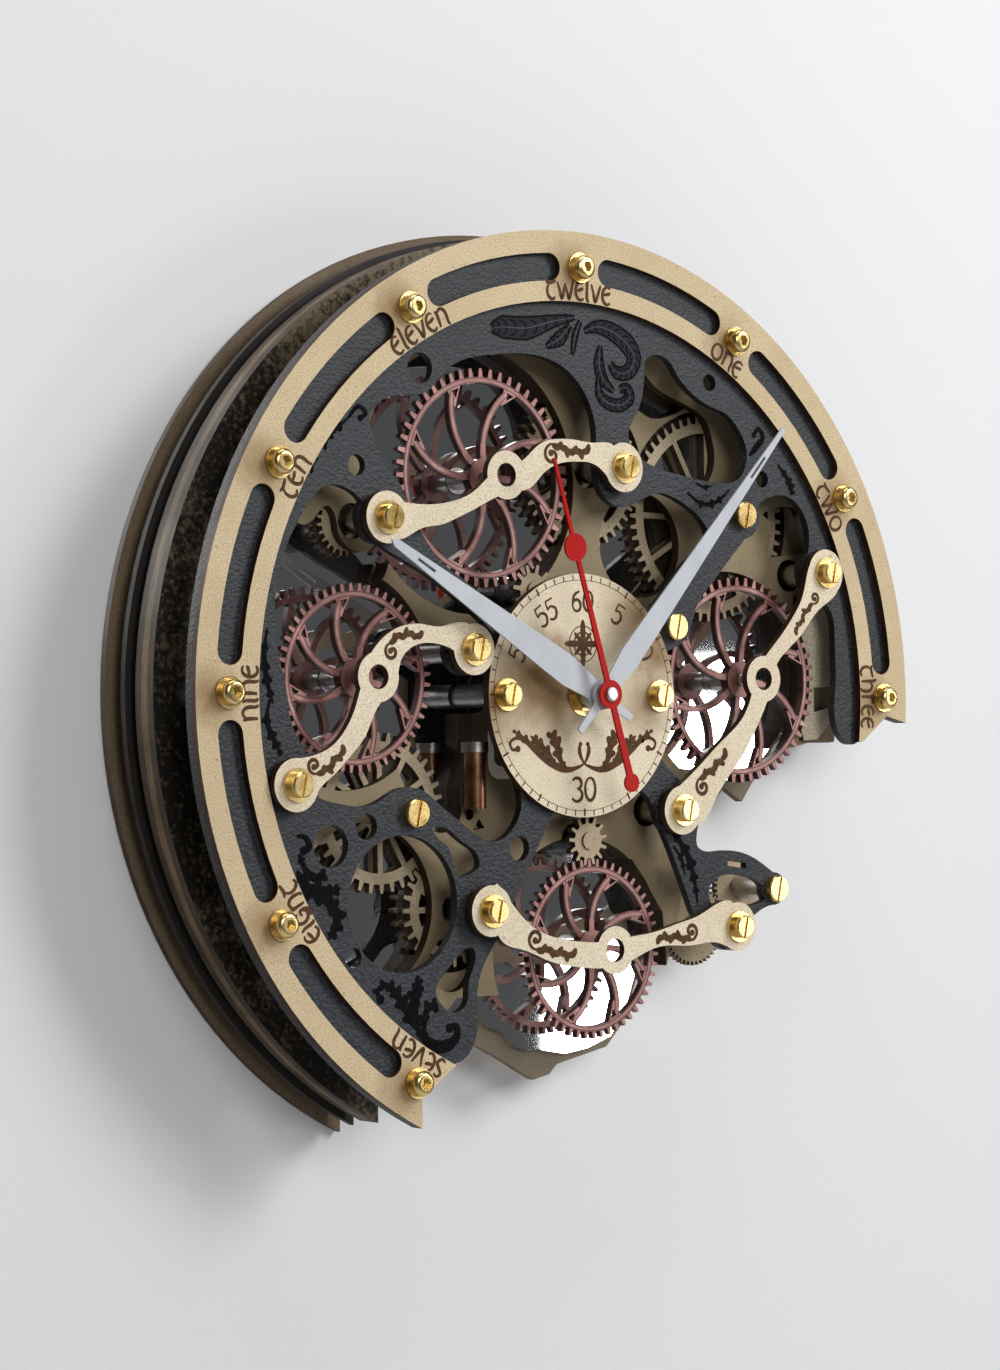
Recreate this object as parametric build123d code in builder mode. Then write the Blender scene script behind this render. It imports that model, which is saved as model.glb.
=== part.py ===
# Skeleton wall clock with turning gear wheels.
# Origin on the dial axis at the wall; +X right, +Z up, the front faces -Y.
from build123d import *
import math
import os

os.makedirs("parts", exist_ok=True)

# Rim and layer stack, each thickness measured away from the wall
rim_radius = 185.0
wall_ring_radius = 190.0
wall_ring_inner_radius = 158.0
wall_ring_thickness = 3.0
rear_gap = 6.0
shadow_ring_radius = 187.0
shadow_ring_inner_radius = 160.0
shadow_ring_thickness = 3.0
shadow_gap = 4.0
board = 4.0
rim_inner_radius = 154.0
mirror_thickness = 3.0
mirror_radius = 152.5
mid_radius = 162.0
plate_back_depth = 49.5
plate_thickness = 3.5
ring_thickness = 3.0
ring_inner_radius = 157.0
backing_thickness = 3.0

shadow_depth = wall_ring_thickness + rear_gap
rim_rear_depth = shadow_depth + shadow_ring_thickness + shadow_gap
base_depth = rim_rear_depth + board
base_front = base_depth + board
mid_depth = base_front + board
mid_front_depth = mid_depth + board
mid_face = mid_front_depth + board
plate_face = plate_back_depth + plate_thickness
ring_face = plate_face + ring_thickness

# Clearances
running_clearance = 0.06
axial_gap = 0.3
hole_clearance = 0.3
well_clearance = 1.3
gear_clearance = 2.0

# Screws around the ring
screw_circle = 170.6
ring_screw_hours = (7, 8, 9, 10, 11, 12, 1, 2, 3)
shank_radius = 1.9
button_washer_radius = 6.1
button_washer_thickness = 1.2
button_step_radius = 5.2
button_step_thickness = 0.9
button_head_radius = 4.9
button_head_height = 3.4
button_head_fillet = 2.1
hex_radius = 2.2
hex_depth = 1.8
sleeve_radius = 4.8
sleeve_bore_radius = 2.6
rear_spacer_radius = 7.0
rear_spacer_circle = 173.0

# Slots of the front ring
slot_radius = 170.5
slot_width = 11.0
slot_end_distance = 15.5

# Nail hole at the back
nail_hole_radius = 3.0
hanger_width = 44.0
hanger_height = 26.0
hanger_centre_radius = 152.0

# Dial
dial_radius = 48.5
dial_screw_distance = 40.0
plate_hub_radius = 46.0

# Slotted screws
slotted_head_radius = 4.7
slotted_head_height = 3.6
slotted_edge = 0.5
slot_turn = -12.0
plate_head_radius = 5.5
slot_cut_width = 1.1
slot_cut_depth = 1.5
washer_radius = 6.4
washer_thickness = 1.4
shank_depth = 4.0

# Bridges that hold the front wheels
bridge_gap = 2.5
bridge_thickness = 3.0
bridge_spacer_radius = 6.0
bridge_eye_radius = 9.6
bridge_eye_hole_radius = 4.7
bridge_depth = ring_face - ring_thickness + bridge_gap
bridge_face = bridge_depth + bridge_thickness

# Front wheels
wheel_teeth = 52
wheel_spokes = 8
large_module = 1.6
small_module = 1.34
wheel_depth = 41.0
wheel_thickness = 3.0
wheel_hub_radius = 7.6
wheel_hub_rise = 0.8
wheel_rim_width = 2.3
spoke_width = 2.6
spoke_lead = 20.0
spoke_root_share = 0.8
spoke_bow_share = 0.13
fork_width = 8.0
fork_length = 8.5
fork_hole_width = 3.6
fork_hole_length = 3.2
axle_radius = 2.0
axle_shoulder_radius = 3.8
axle_flange_radius = 5.4
axle_flange_thickness = 3.5
axle_cap_radius = 2.7
axle_cap_height = 1.6
cap_fillet_share = 0.6

# Tooth shape in shares of the module and of the tooth pitch
addendum_share = 0.95
dedendum_share = 1.2
tip_width_share = 0.25
root_width_share = 0.46

# Driving pinions and their motors
large_pinion_teeth = 11
small_pinion_teeth = 13
pinion_hub_radius = 3.4
pinion_hub_rise = 1.0
pinion_shaft_radius = 1.5
pinion_shaft_length = 5.0
motor_radius = 6.0
motor_seat_gap = 0.8
motor_edge = 0.6

# Wooden gears behind the front plate
train_module = 1.5
upper_left_module = 1.0
fine_module = 0.75
coupled_module = 1.648
train_thickness = 3.2
train_seat_gap = 0.4
train_depth = mid_depth + train_seat_gap
post_radius = 2.5
post_foot_radius = 5.6
train_rim_width = 4.2
train_hub_radius = 8.0
train_spoke_width = 2.4
train_spokes = 12

# Places of the wheels as shares of the rim radius
wheel_1_share = (-0.219, 0.463)
wheel_2_share = (-0.562, 0.034)
wheel_3_share = (0.525, 0.040)
wheel_4_share = (0.072, -0.550)
wheel_1_turn = 22.0
wheel_2_turn = 10.0
wheel_3_turn = 15.0
wheel_4_turn = 22.0
pinion_1_direction = 300.0
pinion_2_direction = 180.0
pinion_3_direction = 155.4
pinion_4_direction = 91.7

# Places of the bridge screws, two to each bridge
bridge_1_share = ((-0.535, 0.361), (0.112, 0.496))
bridge_2_share = ((-0.769, -0.184), (-0.311, 0.094))
bridge_3_share = ((0.274, -0.251), (0.727, 0.285))
bridge_4_share = ((-0.270, -0.453), (0.436, -0.513))

# Edges of the bridges between their end discs, upper edge then lower edge
bridge_1_edge_share = (
    (-0.520, 0.398), (-0.443, 0.391), (-0.394, 0.395), (-0.344, 0.407), (-0.304, 0.427), (-0.270, 0.455),
    (-0.225, 0.480), (-0.182, 0.492), (-0.151, 0.515), (-0.120, 0.537), (-0.078, 0.547), (-0.025, 0.548),
    (0.028, 0.545), (0.085, 0.540),
    (0.095, 0.455), (0.040, 0.492), (-0.015, 0.502), (-0.068, 0.496), (-0.120, 0.469), (-0.152, 0.440),
    (-0.200, 0.428), (-0.254, 0.412), (-0.300, 0.390), (-0.350, 0.368), (-0.400, 0.350), (-0.450, 0.340),
    (-0.520, 0.322),
)
bridge_2_edge_share = (
    (-0.765, -0.131), (-0.731, -0.126), (-0.699, -0.116), (-0.671, -0.099), (-0.646, -0.072), (-0.629, -0.045),
    (-0.618, -0.019), (-0.603, 0.026), (-0.589, 0.067), (-0.558, 0.107), (-0.506, 0.137), (-0.450, 0.144),
    (-0.397, 0.140), (-0.320, 0.142),
    (-0.328, 0.052), (-0.363, 0.088), (-0.386, 0.099), (-0.421, 0.105), (-0.450, 0.104), (-0.477, 0.095),
    (-0.503, 0.070), (-0.520, 0.018), (-0.548, -0.010), (-0.573, -0.041), (-0.599, -0.090), (-0.633, -0.125),
    (-0.677, -0.165), (-0.710, -0.190), (-0.755, -0.228),
)
bridge_3_edge_share = (
    (0.252, -0.206), (0.317, -0.160), (0.396, -0.098), (0.457, -0.049), (0.486, 0.002), (0.502, 0.050),
    (0.528, 0.087), (0.571, 0.129), (0.623, 0.186), (0.655, 0.240), (0.690, 0.313),
    (0.765, 0.252), (0.706, 0.202), (0.657, 0.153), (0.602, 0.107), (0.568, 0.075), (0.548, 0.020),
    (0.526, -0.028), (0.495, -0.079), (0.460, -0.129), (0.414, -0.178), (0.372, -0.229), (0.310, -0.285),
)
bridge_4_edge_share = (
    (-0.250, -0.401), (-0.208, -0.448), (-0.163, -0.488), (-0.082, -0.519), (0.005, -0.530), (0.070, -0.530),
    (0.117, -0.523), (0.166, -0.518), (0.216, -0.509), (0.266, -0.497), (0.316, -0.485), (0.425, -0.463),
    (0.427, -0.560), (0.383, -0.549), (0.298, -0.549), (0.207, -0.547), (0.166, -0.556), (0.112, -0.576),
    (0.036, -0.587), (-0.036, -0.581), (-0.114, -0.565), (-0.190, -0.537), (-0.255, -0.503),
)

# Screws that go straight into the front plate
plate_screw_4_direction = 29.2
train_5_direction = 131.3
upper_right_direction = -12.8

# Windows of the front plate
wheel_1_window_share = (
    (-0.550, 0.537), (-0.550, 0.581), (-0.517, 0.608), (-0.463, 0.619), (-0.409, 0.629), (-0.355, 0.678),
    (-0.284, 0.711), (-0.203, 0.724), (-0.105, 0.727), (-0.029, 0.705), (0.030, 0.651), (0.057, 0.581),
    (0.057, 0.499), (0.074, 0.440), (0.122, 0.413), (0.182, 0.429), (0.242, 0.448), (0.312, 0.429),
    (0.366, 0.396), (0.388, 0.364), (0.329, 0.304), (0.263, 0.239), (0.180, 0.170), (0.040, 0.150),
    (-0.120, 0.150), (-0.214, 0.174), (-0.284, 0.223), (-0.366, 0.272), (-0.425, 0.337), (-0.458, 0.396),
    (-0.485, 0.440), (-0.517, 0.472),
)
wheel_2_window_share = (
    (-0.745, 0.337), (-0.707, 0.391), (-0.664, 0.423), (-0.615, 0.418), (-0.577, 0.391), (-0.566, 0.342),
    (-0.528, 0.304), (-0.447, 0.266), (-0.366, 0.223), (-0.300, 0.179), (-0.220, 0.109), (-0.200, 0.000),
    (-0.180, -0.160), (-0.165, -0.244), (-0.181, -0.276), (-0.208, -0.300), (-0.241, -0.309),
    (-0.279, -0.298), (-0.333, -0.263), (-0.387, -0.227), (-0.420, -0.203), (-0.458, -0.192),
    (-0.496, -0.197), (-0.539, -0.219), (-0.593, -0.230), (-0.648, -0.222), (-0.696, -0.206),
    (-0.713, -0.151), (-0.734, -0.108), (-0.761, -0.054), (-0.772, 0.011), (-0.789, 0.076),
    (-0.799, 0.141), (-0.794, 0.207), (-0.778, 0.272),
)
upper_window_share = (
    (0.209, 0.743), (0.242, 0.754), (0.274, 0.743), (0.301, 0.711), (0.339, 0.678), (0.394, 0.651),
    (0.448, 0.635), (0.486, 0.602), (0.507, 0.564), (0.507, 0.526), (0.486, 0.494), (0.448, 0.480),
    (0.366, 0.483), (0.285, 0.494), (0.231, 0.505), (0.182, 0.526), (0.152, 0.570), (0.179, 0.624),
    (0.198, 0.678), (0.201, 0.716),
)
wedge_window_share = (
    (-0.398, -0.276), (-0.366, -0.279), (-0.322, -0.309), (-0.284, -0.336), (-0.279, -0.357),
    (-0.306, -0.376), (-0.333, -0.379), (-0.349, -0.352), (-0.366, -0.314), (-0.393, -0.295),
)
bean_window_share = (
    (-0.317, -0.531), (-0.295, -0.534), (-0.295, -0.563), (-0.311, -0.601), (-0.317, -0.645),
    (-0.344, -0.661), (-0.382, -0.645), (-0.398, -0.612), (-0.376, -0.580), (-0.349, -0.553),
)
hook_window_share = (
    (0.551, -0.444), (0.529, -0.417), (0.475, -0.401), (0.415, -0.401), (0.377, -0.428), (0.388, -0.466),
    (0.440, -0.478), (0.500, -0.470),
)
hook_slot_share = ((0.435, -0.372), (0.492, -0.380))
hook_slot_width = 2.4
round_window_share = (-0.481, -0.432)
round_window_radius = 26.2
plate_hole_share = (
    (-0.425, 0.678), (-0.591, 0.467), (0.396, 0.703), (0.556, 0.494), (-0.664, -0.309), (-0.574, -0.271),
    (-0.170, -0.325), (-0.610, -0.536),
)
plate_hole_radii = (6.0, 4.0, 3.5, 3.5, 8.0, 5.0, 5.0, 3.8)
plate_lobe_radius = 10.0
plate_lobe_neck = 13.0
plate_tip_radius = 6.8

# Open side of the front plate, from the ring's lower end round to its right end
lower_edge_share = (
    (-0.357, -0.768), (-0.311, -0.748), (-0.290, -0.704), (-0.290, -0.645), (-0.279, -0.585),
    (-0.246, -0.531), (-0.208, -0.477), (-0.176, -0.417), (-0.143, -0.363), (-0.100, -0.292),
    (-0.078, -0.254), (0.000, -0.200),
)
arm_left_share = (
    (0.166, -0.200), (0.198, -0.222), (0.231, -0.276), (0.263, -0.336), (0.296, -0.406), (0.318, -0.455),
    (0.339, -0.490), (0.372, -0.500), (0.440, -0.515), (0.507, -0.496), (0.540, -0.479), (0.583, -0.471),
)
hook_edge_share = (
    (0.610, -0.418), (0.573, -0.395), (0.502, -0.357), (0.426, -0.344), (0.372, -0.345), (0.347, -0.336),
    (0.350, -0.254), (0.318, -0.206), (0.263, -0.162), (0.220, -0.110),
)
wheel_3_edge_share = (
    (0.200, 0.080), (0.285, 0.109), (0.323, 0.136), (0.339, 0.179), (0.404, 0.261), (0.469, 0.326),
    (0.524, 0.391), (0.545, 0.434), (0.583, 0.456), (0.643, 0.456), (0.692, 0.413), (0.703, 0.348),
    (0.692, 0.282), (0.724, 0.239), (0.773, 0.196), (0.783, 0.120), (0.784, 0.030), (0.784, -0.065),
    (0.827, -0.108), (0.854, -0.103),
)
ring_end_share = ((0.854, -0.103), (0.935, -0.043), (1.000, -0.059), (1.200, -0.059))
ring_start_share = ((1.200, -1.200), (-0.449, -1.200), (-0.449, -0.832), (-0.357, -0.768))

# Open side of the rear boards
rim_open_share = (
    (-0.449, -1.200), (-0.449, -0.832), (-0.357, -0.768), (-0.200, -0.430), (0.000, 0.000),
    (0.500, -0.060), (0.854, -0.103), (0.935, -0.043), (1.000, -0.059), (1.200, -0.059), (1.200, -1.200),
)
base_open_share = (
    (-0.449, -1.200), (-0.449, -0.832), (-0.310, -0.715), (-0.169, -0.749), (-0.102, -0.783),
    (-0.007, -0.836), (0.038, -0.827), (0.060, -0.806), (0.121, -0.794), (0.205, -0.777), (0.262, -0.720),
    (0.300, -0.620), (0.345, -0.540), (0.410, -0.500), (0.435, -0.430), (0.480, -0.300),
    (0.574, -0.204), (0.630, -0.238), (0.658, -0.202), (0.720, -0.130), (0.760, -0.075), (0.854, -0.103),
    (0.935, -0.043), (1.000, -0.059), (1.200, -0.059), (1.200, -1.200),
)
mirror_open_share = (
    (-0.449, -1.200), (-0.449, -0.832), (-0.290, -0.670), (-0.176, -0.680), (-0.143, -0.714),
    (-0.100, -0.728), (-0.076, -0.758), (-0.032, -0.772), (-0.010, -0.768), (0.069, -0.783),
    (0.135, -0.775), (0.205, -0.752), (0.250, -0.690), (0.285, -0.600), (0.325, -0.520), (0.390, -0.480),
    (0.415, -0.420), (0.460, -0.290), (0.560, -0.190), (0.660, -0.160), (0.740, -0.080), (0.830, -0.090),
    (1.200, -0.059), (1.200, -1.200),
)
mid_open_share = (
    (-0.449, -1.200), (-0.449, -0.832), (-0.330, -0.700), (-0.270, -0.640), (-0.150, -0.640),
    (-0.130, -0.420), (0.020, -0.330), (0.230, -0.360), (0.320, -0.480), (0.330, -0.600),
    (0.370, -0.480), (0.385, -0.400), (0.390, -0.320), (0.400, -0.230), (0.480, -0.170), (0.700, -0.120),
    (0.800, -0.100), (0.854, -0.103), (1.200, -0.059), (1.200, -1.200),
)

# Windows of the two middle boards
mid_wheel_1_radius = 53.5
mid_wheel_2_radius = 43.0
mid_wheel_3_radius = 46.0
mid_wheel_4_radius = 45.0
mid_front_upper_share = (
    (0.289, 0.720), (0.336, 0.687), (0.391, 0.668), (0.434, 0.653), (0.465, 0.636), (0.489, 0.588),
    (0.495, 0.542), (0.478, 0.496), (0.410, 0.470), (0.320, 0.485), (0.240, 0.495), (0.180, 0.530),
    (0.165, 0.600), (0.190, 0.670), (0.235, 0.725),
)
mid_rear_upper_share = (
    (0.200, 0.665), (0.245, 0.655), (0.283, 0.645), (0.313, 0.631), (0.367, 0.634), (0.410, 0.650),
    (0.440, 0.672), (0.400, 0.715), (0.340, 0.740), (0.270, 0.750), (0.210, 0.720),
)
mid_wedge_window_share = (
    (0.656, 0.417), (0.668, 0.365), (0.664, 0.330), (0.700, 0.330), (0.760, 0.336), (0.800, 0.350),
    (0.800, 0.405), (0.730, 0.445),
)
mid_inner_window_share = (0.263, 0.340)
mid_inner_window_radius = 22.0
mid_round_window_share = (-0.513, -0.443)
mid_round_window_radius = 33.0
mid_bean_window_share = (-0.285, -0.568)
mid_bean_window_radius = 11.0
mid_side_window_share = (
    (-0.205, 0.140), (-0.195, 0.100), (-0.183, 0.058), (-0.216, -0.024), (-0.221, -0.107), (-0.243, -0.162),
    (-0.254, -0.207), (-0.256, -0.260), (-0.300, -0.290), (-0.400, -0.200), (-0.450, -0.050), (-0.430, 0.080),
    (-0.350, 0.140), (-0.270, 0.150),
)
mid_left_window_share = (
    (-0.753, 0.242), (-0.737, 0.305), (-0.711, 0.347), (-0.668, 0.379), (-0.632, 0.400), (-0.579, 0.421),
    (-0.505, 0.421), (-0.463, 0.389), (-0.442, 0.326), (-0.442, 0.274), (-0.458, 0.242), (-0.484, 0.226),
    (-0.547, 0.221), (-0.632, 0.221), (-0.705, 0.200),
)
mid_lobe_share = (
    (-0.680, 0.358), (-0.632, 0.363), (-0.597, 0.390), (-0.578, 0.370), (-0.572, 0.340), (-0.556, 0.314),
    (-0.526, 0.299), (-0.489, 0.305), (-0.466, 0.334), (-0.468, 0.374), (-0.505, 0.421), (-0.560, 0.490),
    (-0.620, 0.560), (-0.760, 0.480),
)
lobe_hole_share = ((-0.214, -0.215), (-0.232, -0.253))
lobe_hole_radius = 2.2
lobe_cut_share = ((-0.222, -0.286), (-0.190, -0.282), (-0.205, -0.262))

# Pale board that shows behind the front plate's right edge
backing_share = (
    (0.740, 0.236), (0.856, 0.236), (0.860, 0.150), (0.858, 0.028), (0.788, 0.025), (0.788, -0.032),
    (0.831, -0.022), (0.851, -0.049), (0.798, -0.095), (0.755, -0.098), (0.740, -0.060),
)

# Quartz movement
movement_size = 56.0
movement_thickness = 16.0
movement_fillet = 4.0
battery_radius = 7.0
battery_length = 49.0
battery_offset = 17.0
battery_recess = 8.5
hatch_size = 66.0
hatch_fillet = 6.0
bush_radius = 4.4
bush_rise = 4.6
nut_radius = 7.0
nut_thickness = 2.6
nut_washer_radius = 8.2
nut_washer_thickness = 0.8

# Hands
hour_tube_radius = 3.4
minute_tube_radius = 2.4
second_pin_radius = 1.1
tube_start_depth = 50.5
hour_hand_depth = 65.5
minute_hand_depth = 68.4
second_hand_depth = 71.8
hand_thickness = 0.8
second_thickness = 0.9
hour_angle = 299.3
minute_angle = 42.1
second_angle = 343.1
hour_length = 118.0
minute_length = 151.0
second_length = 96.0
hour_hub_radius = 6.2
minute_hub_radius = 5.8
collar_radius = 5.2
hour_width_share = (
    (-0.16, 0.012), (-0.04, 0.017), (0.05, 0.038), (0.16, 0.053), (0.30, 0.048), (0.98, 0.014),
)
minute_width_share = (
    (-0.13, 0.009), (-0.03, 0.012), (0.04, 0.024), (0.13, 0.034), (0.25, 0.031), (0.985, 0.007),
)
hand_slot_share = ((0.80, 0.88), (0.80, 0.88))
hand_slot_width = 1.2
second_hub_radius = 5.7
second_disc_radius = 5.5
second_disc_distance = 60.0
second_tail = 36.5
second_weight_radius = 3.7
second_root_width = 3.2
second_tip_width = 1.4
second_cap_radius = 3.0
second_cap_height = 1.4

# Small side motor lying upright beside the dial
side_motor_radius = 4.4
side_motor_length = 22.0
side_motor_share = (-0.238, -0.180)
side_collar_radius = 5.4
side_collar_length = 4.0


def at(depth):
    return Plane(origin=(0, -depth, 0), x_dir=(1, 0, 0), z_dir=(0, -1, 0))


def spot(share):
    return (share[0] * rim_radius, share[1] * rim_radius)


def spots(shares):
    return [spot(share) for share in shares]


def step_from(point, distance, angle):
    turn = math.radians(angle)
    return (point[0] + distance * math.cos(turn), point[1] + distance * math.sin(turn))


def save(builder, label):
    builder.part.label = label
    export_step(builder.part, f"parts/{label}.step")


def discs(depth, places, radius, bore=0):
    with BuildSketch(at(depth)) as profile:
        with Locations(*places):
            Circle(radius)
            if bore:
                Circle(bore, mode=Mode.SUBTRACT)
    return profile.sketch


def curved(depth, shares):
    with BuildSketch(at(depth)) as profile:
        with BuildLine():
            Spline(*spots(shares), periodic=True)
        make_face()
    return profile.sketch


def straight(depth, shares):
    with BuildSketch(at(depth)) as profile:
        with BuildLine():
            Polyline(*spots(shares), close=True)
        make_face()
    return profile.sketch


def gear(depth, centre, module, teeth, phase):
    pitch_radius = module * teeth / 2
    tip = pitch_radius + addendum_share * module
    root = pitch_radius - dedendum_share * module
    corners = []
    for tooth in range(teeth):
        middle = phase + tooth * 360 / teeth
        for radius, share in ((root, -root_width_share), (tip, -tip_width_share),
                              (tip, tip_width_share), (root, root_width_share)):
            corners.append(step_from(centre, radius, middle + share * 180 / teeth))
    with BuildSketch(at(depth)) as profile:
        with BuildLine():
            Polyline(*corners, close=True)
        make_face()
    return profile.sketch


def between_spokes(depth, centre, hub, rim):
    with BuildSketch(at(depth)) as profile:
        with Locations(centre):
            Circle(rim)
            Circle(hub, mode=Mode.SUBTRACT)
            for spoke in range(train_spokes // 2):
                Rectangle(2 * rim, train_spoke_width, rotation=360 * spoke / train_spokes, mode=Mode.SUBTRACT)
    return profile.sketch


def pinion_phase(direction, wheel_phase, wheel_count, pinion_count):
    return direction + 180 - (wheel_phase - direction) * wheel_count / pinion_count + 180 / pinion_count


def clock_angle(angle):
    return 90 - angle


def hour_spot(hour, radius):
    return step_from((0, 0), radius, clock_angle(30 * hour))


# Places that several pieces share
wheel_places = [spot(share) for share in (wheel_1_share, wheel_2_share, wheel_3_share, wheel_4_share)]
wheel_modules = (large_module, small_module, large_module, small_module)
wheel_turns = (wheel_1_turn, wheel_2_turn, wheel_3_turn, wheel_4_turn)
pinion_counts = (large_pinion_teeth, small_pinion_teeth, large_pinion_teeth, small_pinion_teeth)
pinion_directions = (pinion_1_direction, pinion_2_direction, pinion_3_direction, pinion_4_direction)
pinion_places = []
for index in range(4):
    mesh_distance = wheel_modules[index] * (wheel_teeth + pinion_counts[index]) / 2
    pinion_places.append(step_from(wheel_places[index], mesh_distance, pinion_directions[index]))

bridge_shares = (bridge_1_share, bridge_2_share, bridge_3_share, bridge_4_share)
bridge_edges = (bridge_1_edge_share, bridge_2_edge_share, bridge_3_edge_share, bridge_4_edge_share)
bridge_ends = [spot(share) for pair in bridge_shares for share in pair]
ring_screw_spots = [hour_spot(hour, screw_circle) for hour in ring_screw_hours]
dial_screw_spots = [(-dial_screw_distance, 0), (dial_screw_distance, 0)]

upper_left_place = bridge_ends[0]
upper_place = bridge_ends[1]
lower_left_place = bridge_ends[6]
lower_right_place = bridge_ends[7]
upper_left_teeth = 25
upper_teeth = 40
upper_right_teeth = 56
lower_left_teeth = 26
left_teeth = 36
lower_right_teeth = 44
hook_teeth = 36
plate_screw_1 = step_from(upper_place, train_module * (upper_teeth + upper_right_teeth) / 2,
                          upper_right_direction)
left_place = step_from(lower_left_place, coupled_module * (left_teeth + lower_left_teeth) / 2, train_5_direction)
hook_place = step_from(lower_right_place, fine_module * (lower_right_teeth + hook_teeth) / 2,
                       plate_screw_4_direction)
sleeve_spots = [bridge_ends[2], bridge_ends[3], bridge_ends[4], bridge_ends[5]] + dial_screw_spots
gear_post_spots = [upper_left_place, upper_place, plate_screw_1, lower_left_place, left_place]
hanging_spots = [lower_right_place, hook_place]
plate_screw_spots = [plate_screw_1, pinion_places[2], left_place, hook_place]
train_gears = (
    ("gear_upper_left", upper_left_place, upper_left_module, upper_left_teeth),
    ("gear_upper", upper_place, train_module, upper_teeth),
    ("gear_upper_right", plate_screw_1, train_module, upper_right_teeth),
    ("gear_lower_left", lower_left_place, coupled_module, lower_left_teeth),
    ("gear_left", left_place, coupled_module, left_teeth),
    ("gear_lower_right", lower_right_place, fine_module, lower_right_teeth),
    ("gear_hook", hook_place, fine_module, hook_teeth),
)

# Rear rings and the spacers between them
with BuildPart() as wall_ring:
    with BuildSketch(at(0)):
        Circle(wall_ring_radius)
        Circle(wall_ring_inner_radius, mode=Mode.SUBTRACT)
        with Locations((0, hanger_centre_radius)):
            Rectangle(hanger_width, hanger_height)
            Circle(nail_hole_radius, mode=Mode.SUBTRACT)
    extrude(amount=wall_ring_thickness)
    extrude(straight(0, rim_open_share), amount=wall_ring_thickness, mode=Mode.SUBTRACT)
save(wall_ring, "wall_ring")

with BuildPart() as shadow_ring:
    extrude(discs(shadow_depth, [(0, 0)], shadow_ring_radius, shadow_ring_inner_radius),
            amount=shadow_ring_thickness)
    extrude(straight(shadow_depth, rim_open_share), amount=shadow_ring_thickness, mode=Mode.SUBTRACT)
save(shadow_ring, "shadow_ring")

rear_spacer_spots = [hour_spot(hour + 0.5, rear_spacer_circle) for hour in ring_screw_hours[:-1]]
with BuildPart() as rear_spacers:
    extrude(discs(wall_ring_thickness, rear_spacer_spots, rear_spacer_radius), amount=rear_gap)
    extrude(discs(shadow_depth + shadow_ring_thickness, rear_spacer_spots, rear_spacer_radius),
            amount=shadow_gap)
save(rear_spacers, "rear_spacers")

with BuildPart() as rim_rear:
    extrude(discs(rim_rear_depth, [(0, 0)], rim_radius, rim_inner_radius), amount=board)
    extrude(straight(rim_rear_depth, rim_open_share), amount=board, mode=Mode.SUBTRACT)
save(rim_rear, "rim_rear")

with BuildPart() as rim_front:
    extrude(discs(base_front, [(0, 0)], rim_radius, rim_inner_radius), amount=board)
    extrude(straight(base_front, rim_open_share), amount=board, mode=Mode.SUBTRACT)
save(rim_front, "rim_front")

# Base board with the battery hatch, and the mirror on it
with BuildPart() as base_board:
    with BuildSketch(at(base_depth)):
        Circle(rim_radius)
        RectangleRounded(hatch_size, hatch_size, hatch_fillet, mode=Mode.SUBTRACT)
    extrude(amount=board)
    extrude(straight(base_depth, base_open_share), amount=board, mode=Mode.SUBTRACT)
save(base_board, "base_board")

mirror_wells = sleeve_spots + gear_post_spots
with BuildPart() as mirror_plate:
    with BuildSketch(at(base_front)):
        Circle(mirror_radius)
        RectangleRounded(hatch_size, hatch_size, hatch_fillet, mode=Mode.SUBTRACT)
    extrude(amount=mirror_thickness)
    extrude(straight(base_front, mirror_open_share), amount=mirror_thickness, mode=Mode.SUBTRACT)
    extrude(discs(base_front, mirror_wells, post_foot_radius + hole_clearance),
            amount=mirror_thickness, mode=Mode.SUBTRACT)
    extrude(discs(base_front, wheel_places, axle_flange_radius + hole_clearance),
            amount=mirror_thickness, mode=Mode.SUBTRACT)
    extrude(discs(base_front, pinion_places, motor_radius + hole_clearance),
            amount=mirror_thickness, mode=Mode.SUBTRACT)
save(mirror_plate, "mirror_plate")


def mid_windows(depth, upper_shares):
    cuts = [discs(depth, [wheel_places[0]], mid_wheel_1_radius)]
    cuts.append(discs(depth, [wheel_places[1]], mid_wheel_2_radius))
    cuts.append(discs(depth, [wheel_places[2]], mid_wheel_3_radius))
    cuts.append(discs(depth, [wheel_places[3]], mid_wheel_4_radius))
    cuts.append(curved(depth, upper_shares))
    cuts.append(discs(depth, [spot(mid_inner_window_share)], mid_inner_window_radius))
    cuts.append(discs(depth, [spot(mid_round_window_share)], mid_round_window_radius))
    cuts.append(curved(depth, mid_side_window_share))
    cuts.append(curved(depth, mid_left_window_share))
    cuts.append(straight(depth, mid_open_share))
    return cuts


def mid_holes(depth):
    wells = sleeve_spots + gear_post_spots
    return [discs(depth, wells, post_foot_radius + well_clearance),
            discs(depth, pinion_places, motor_radius + well_clearance)]


with BuildPart() as mid_rear:
    with BuildSketch(at(mid_depth)):
        Circle(mid_radius)
        RectangleRounded(hatch_size, hatch_size, hatch_fillet, mode=Mode.SUBTRACT)
    extrude(amount=board)
    for window in mid_windows(mid_depth, mid_rear_upper_share) + mid_holes(mid_depth):
        extrude(window, amount=board, mode=Mode.SUBTRACT)
    for gear_name, gear_place, gear_module, gear_teeth in train_gears:
        gear_tip = gear_module * (gear_teeth / 2 + addendum_share)
        extrude(discs(mid_depth, [gear_place], gear_tip + gear_clearance), amount=board, mode=Mode.SUBTRACT)

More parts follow.
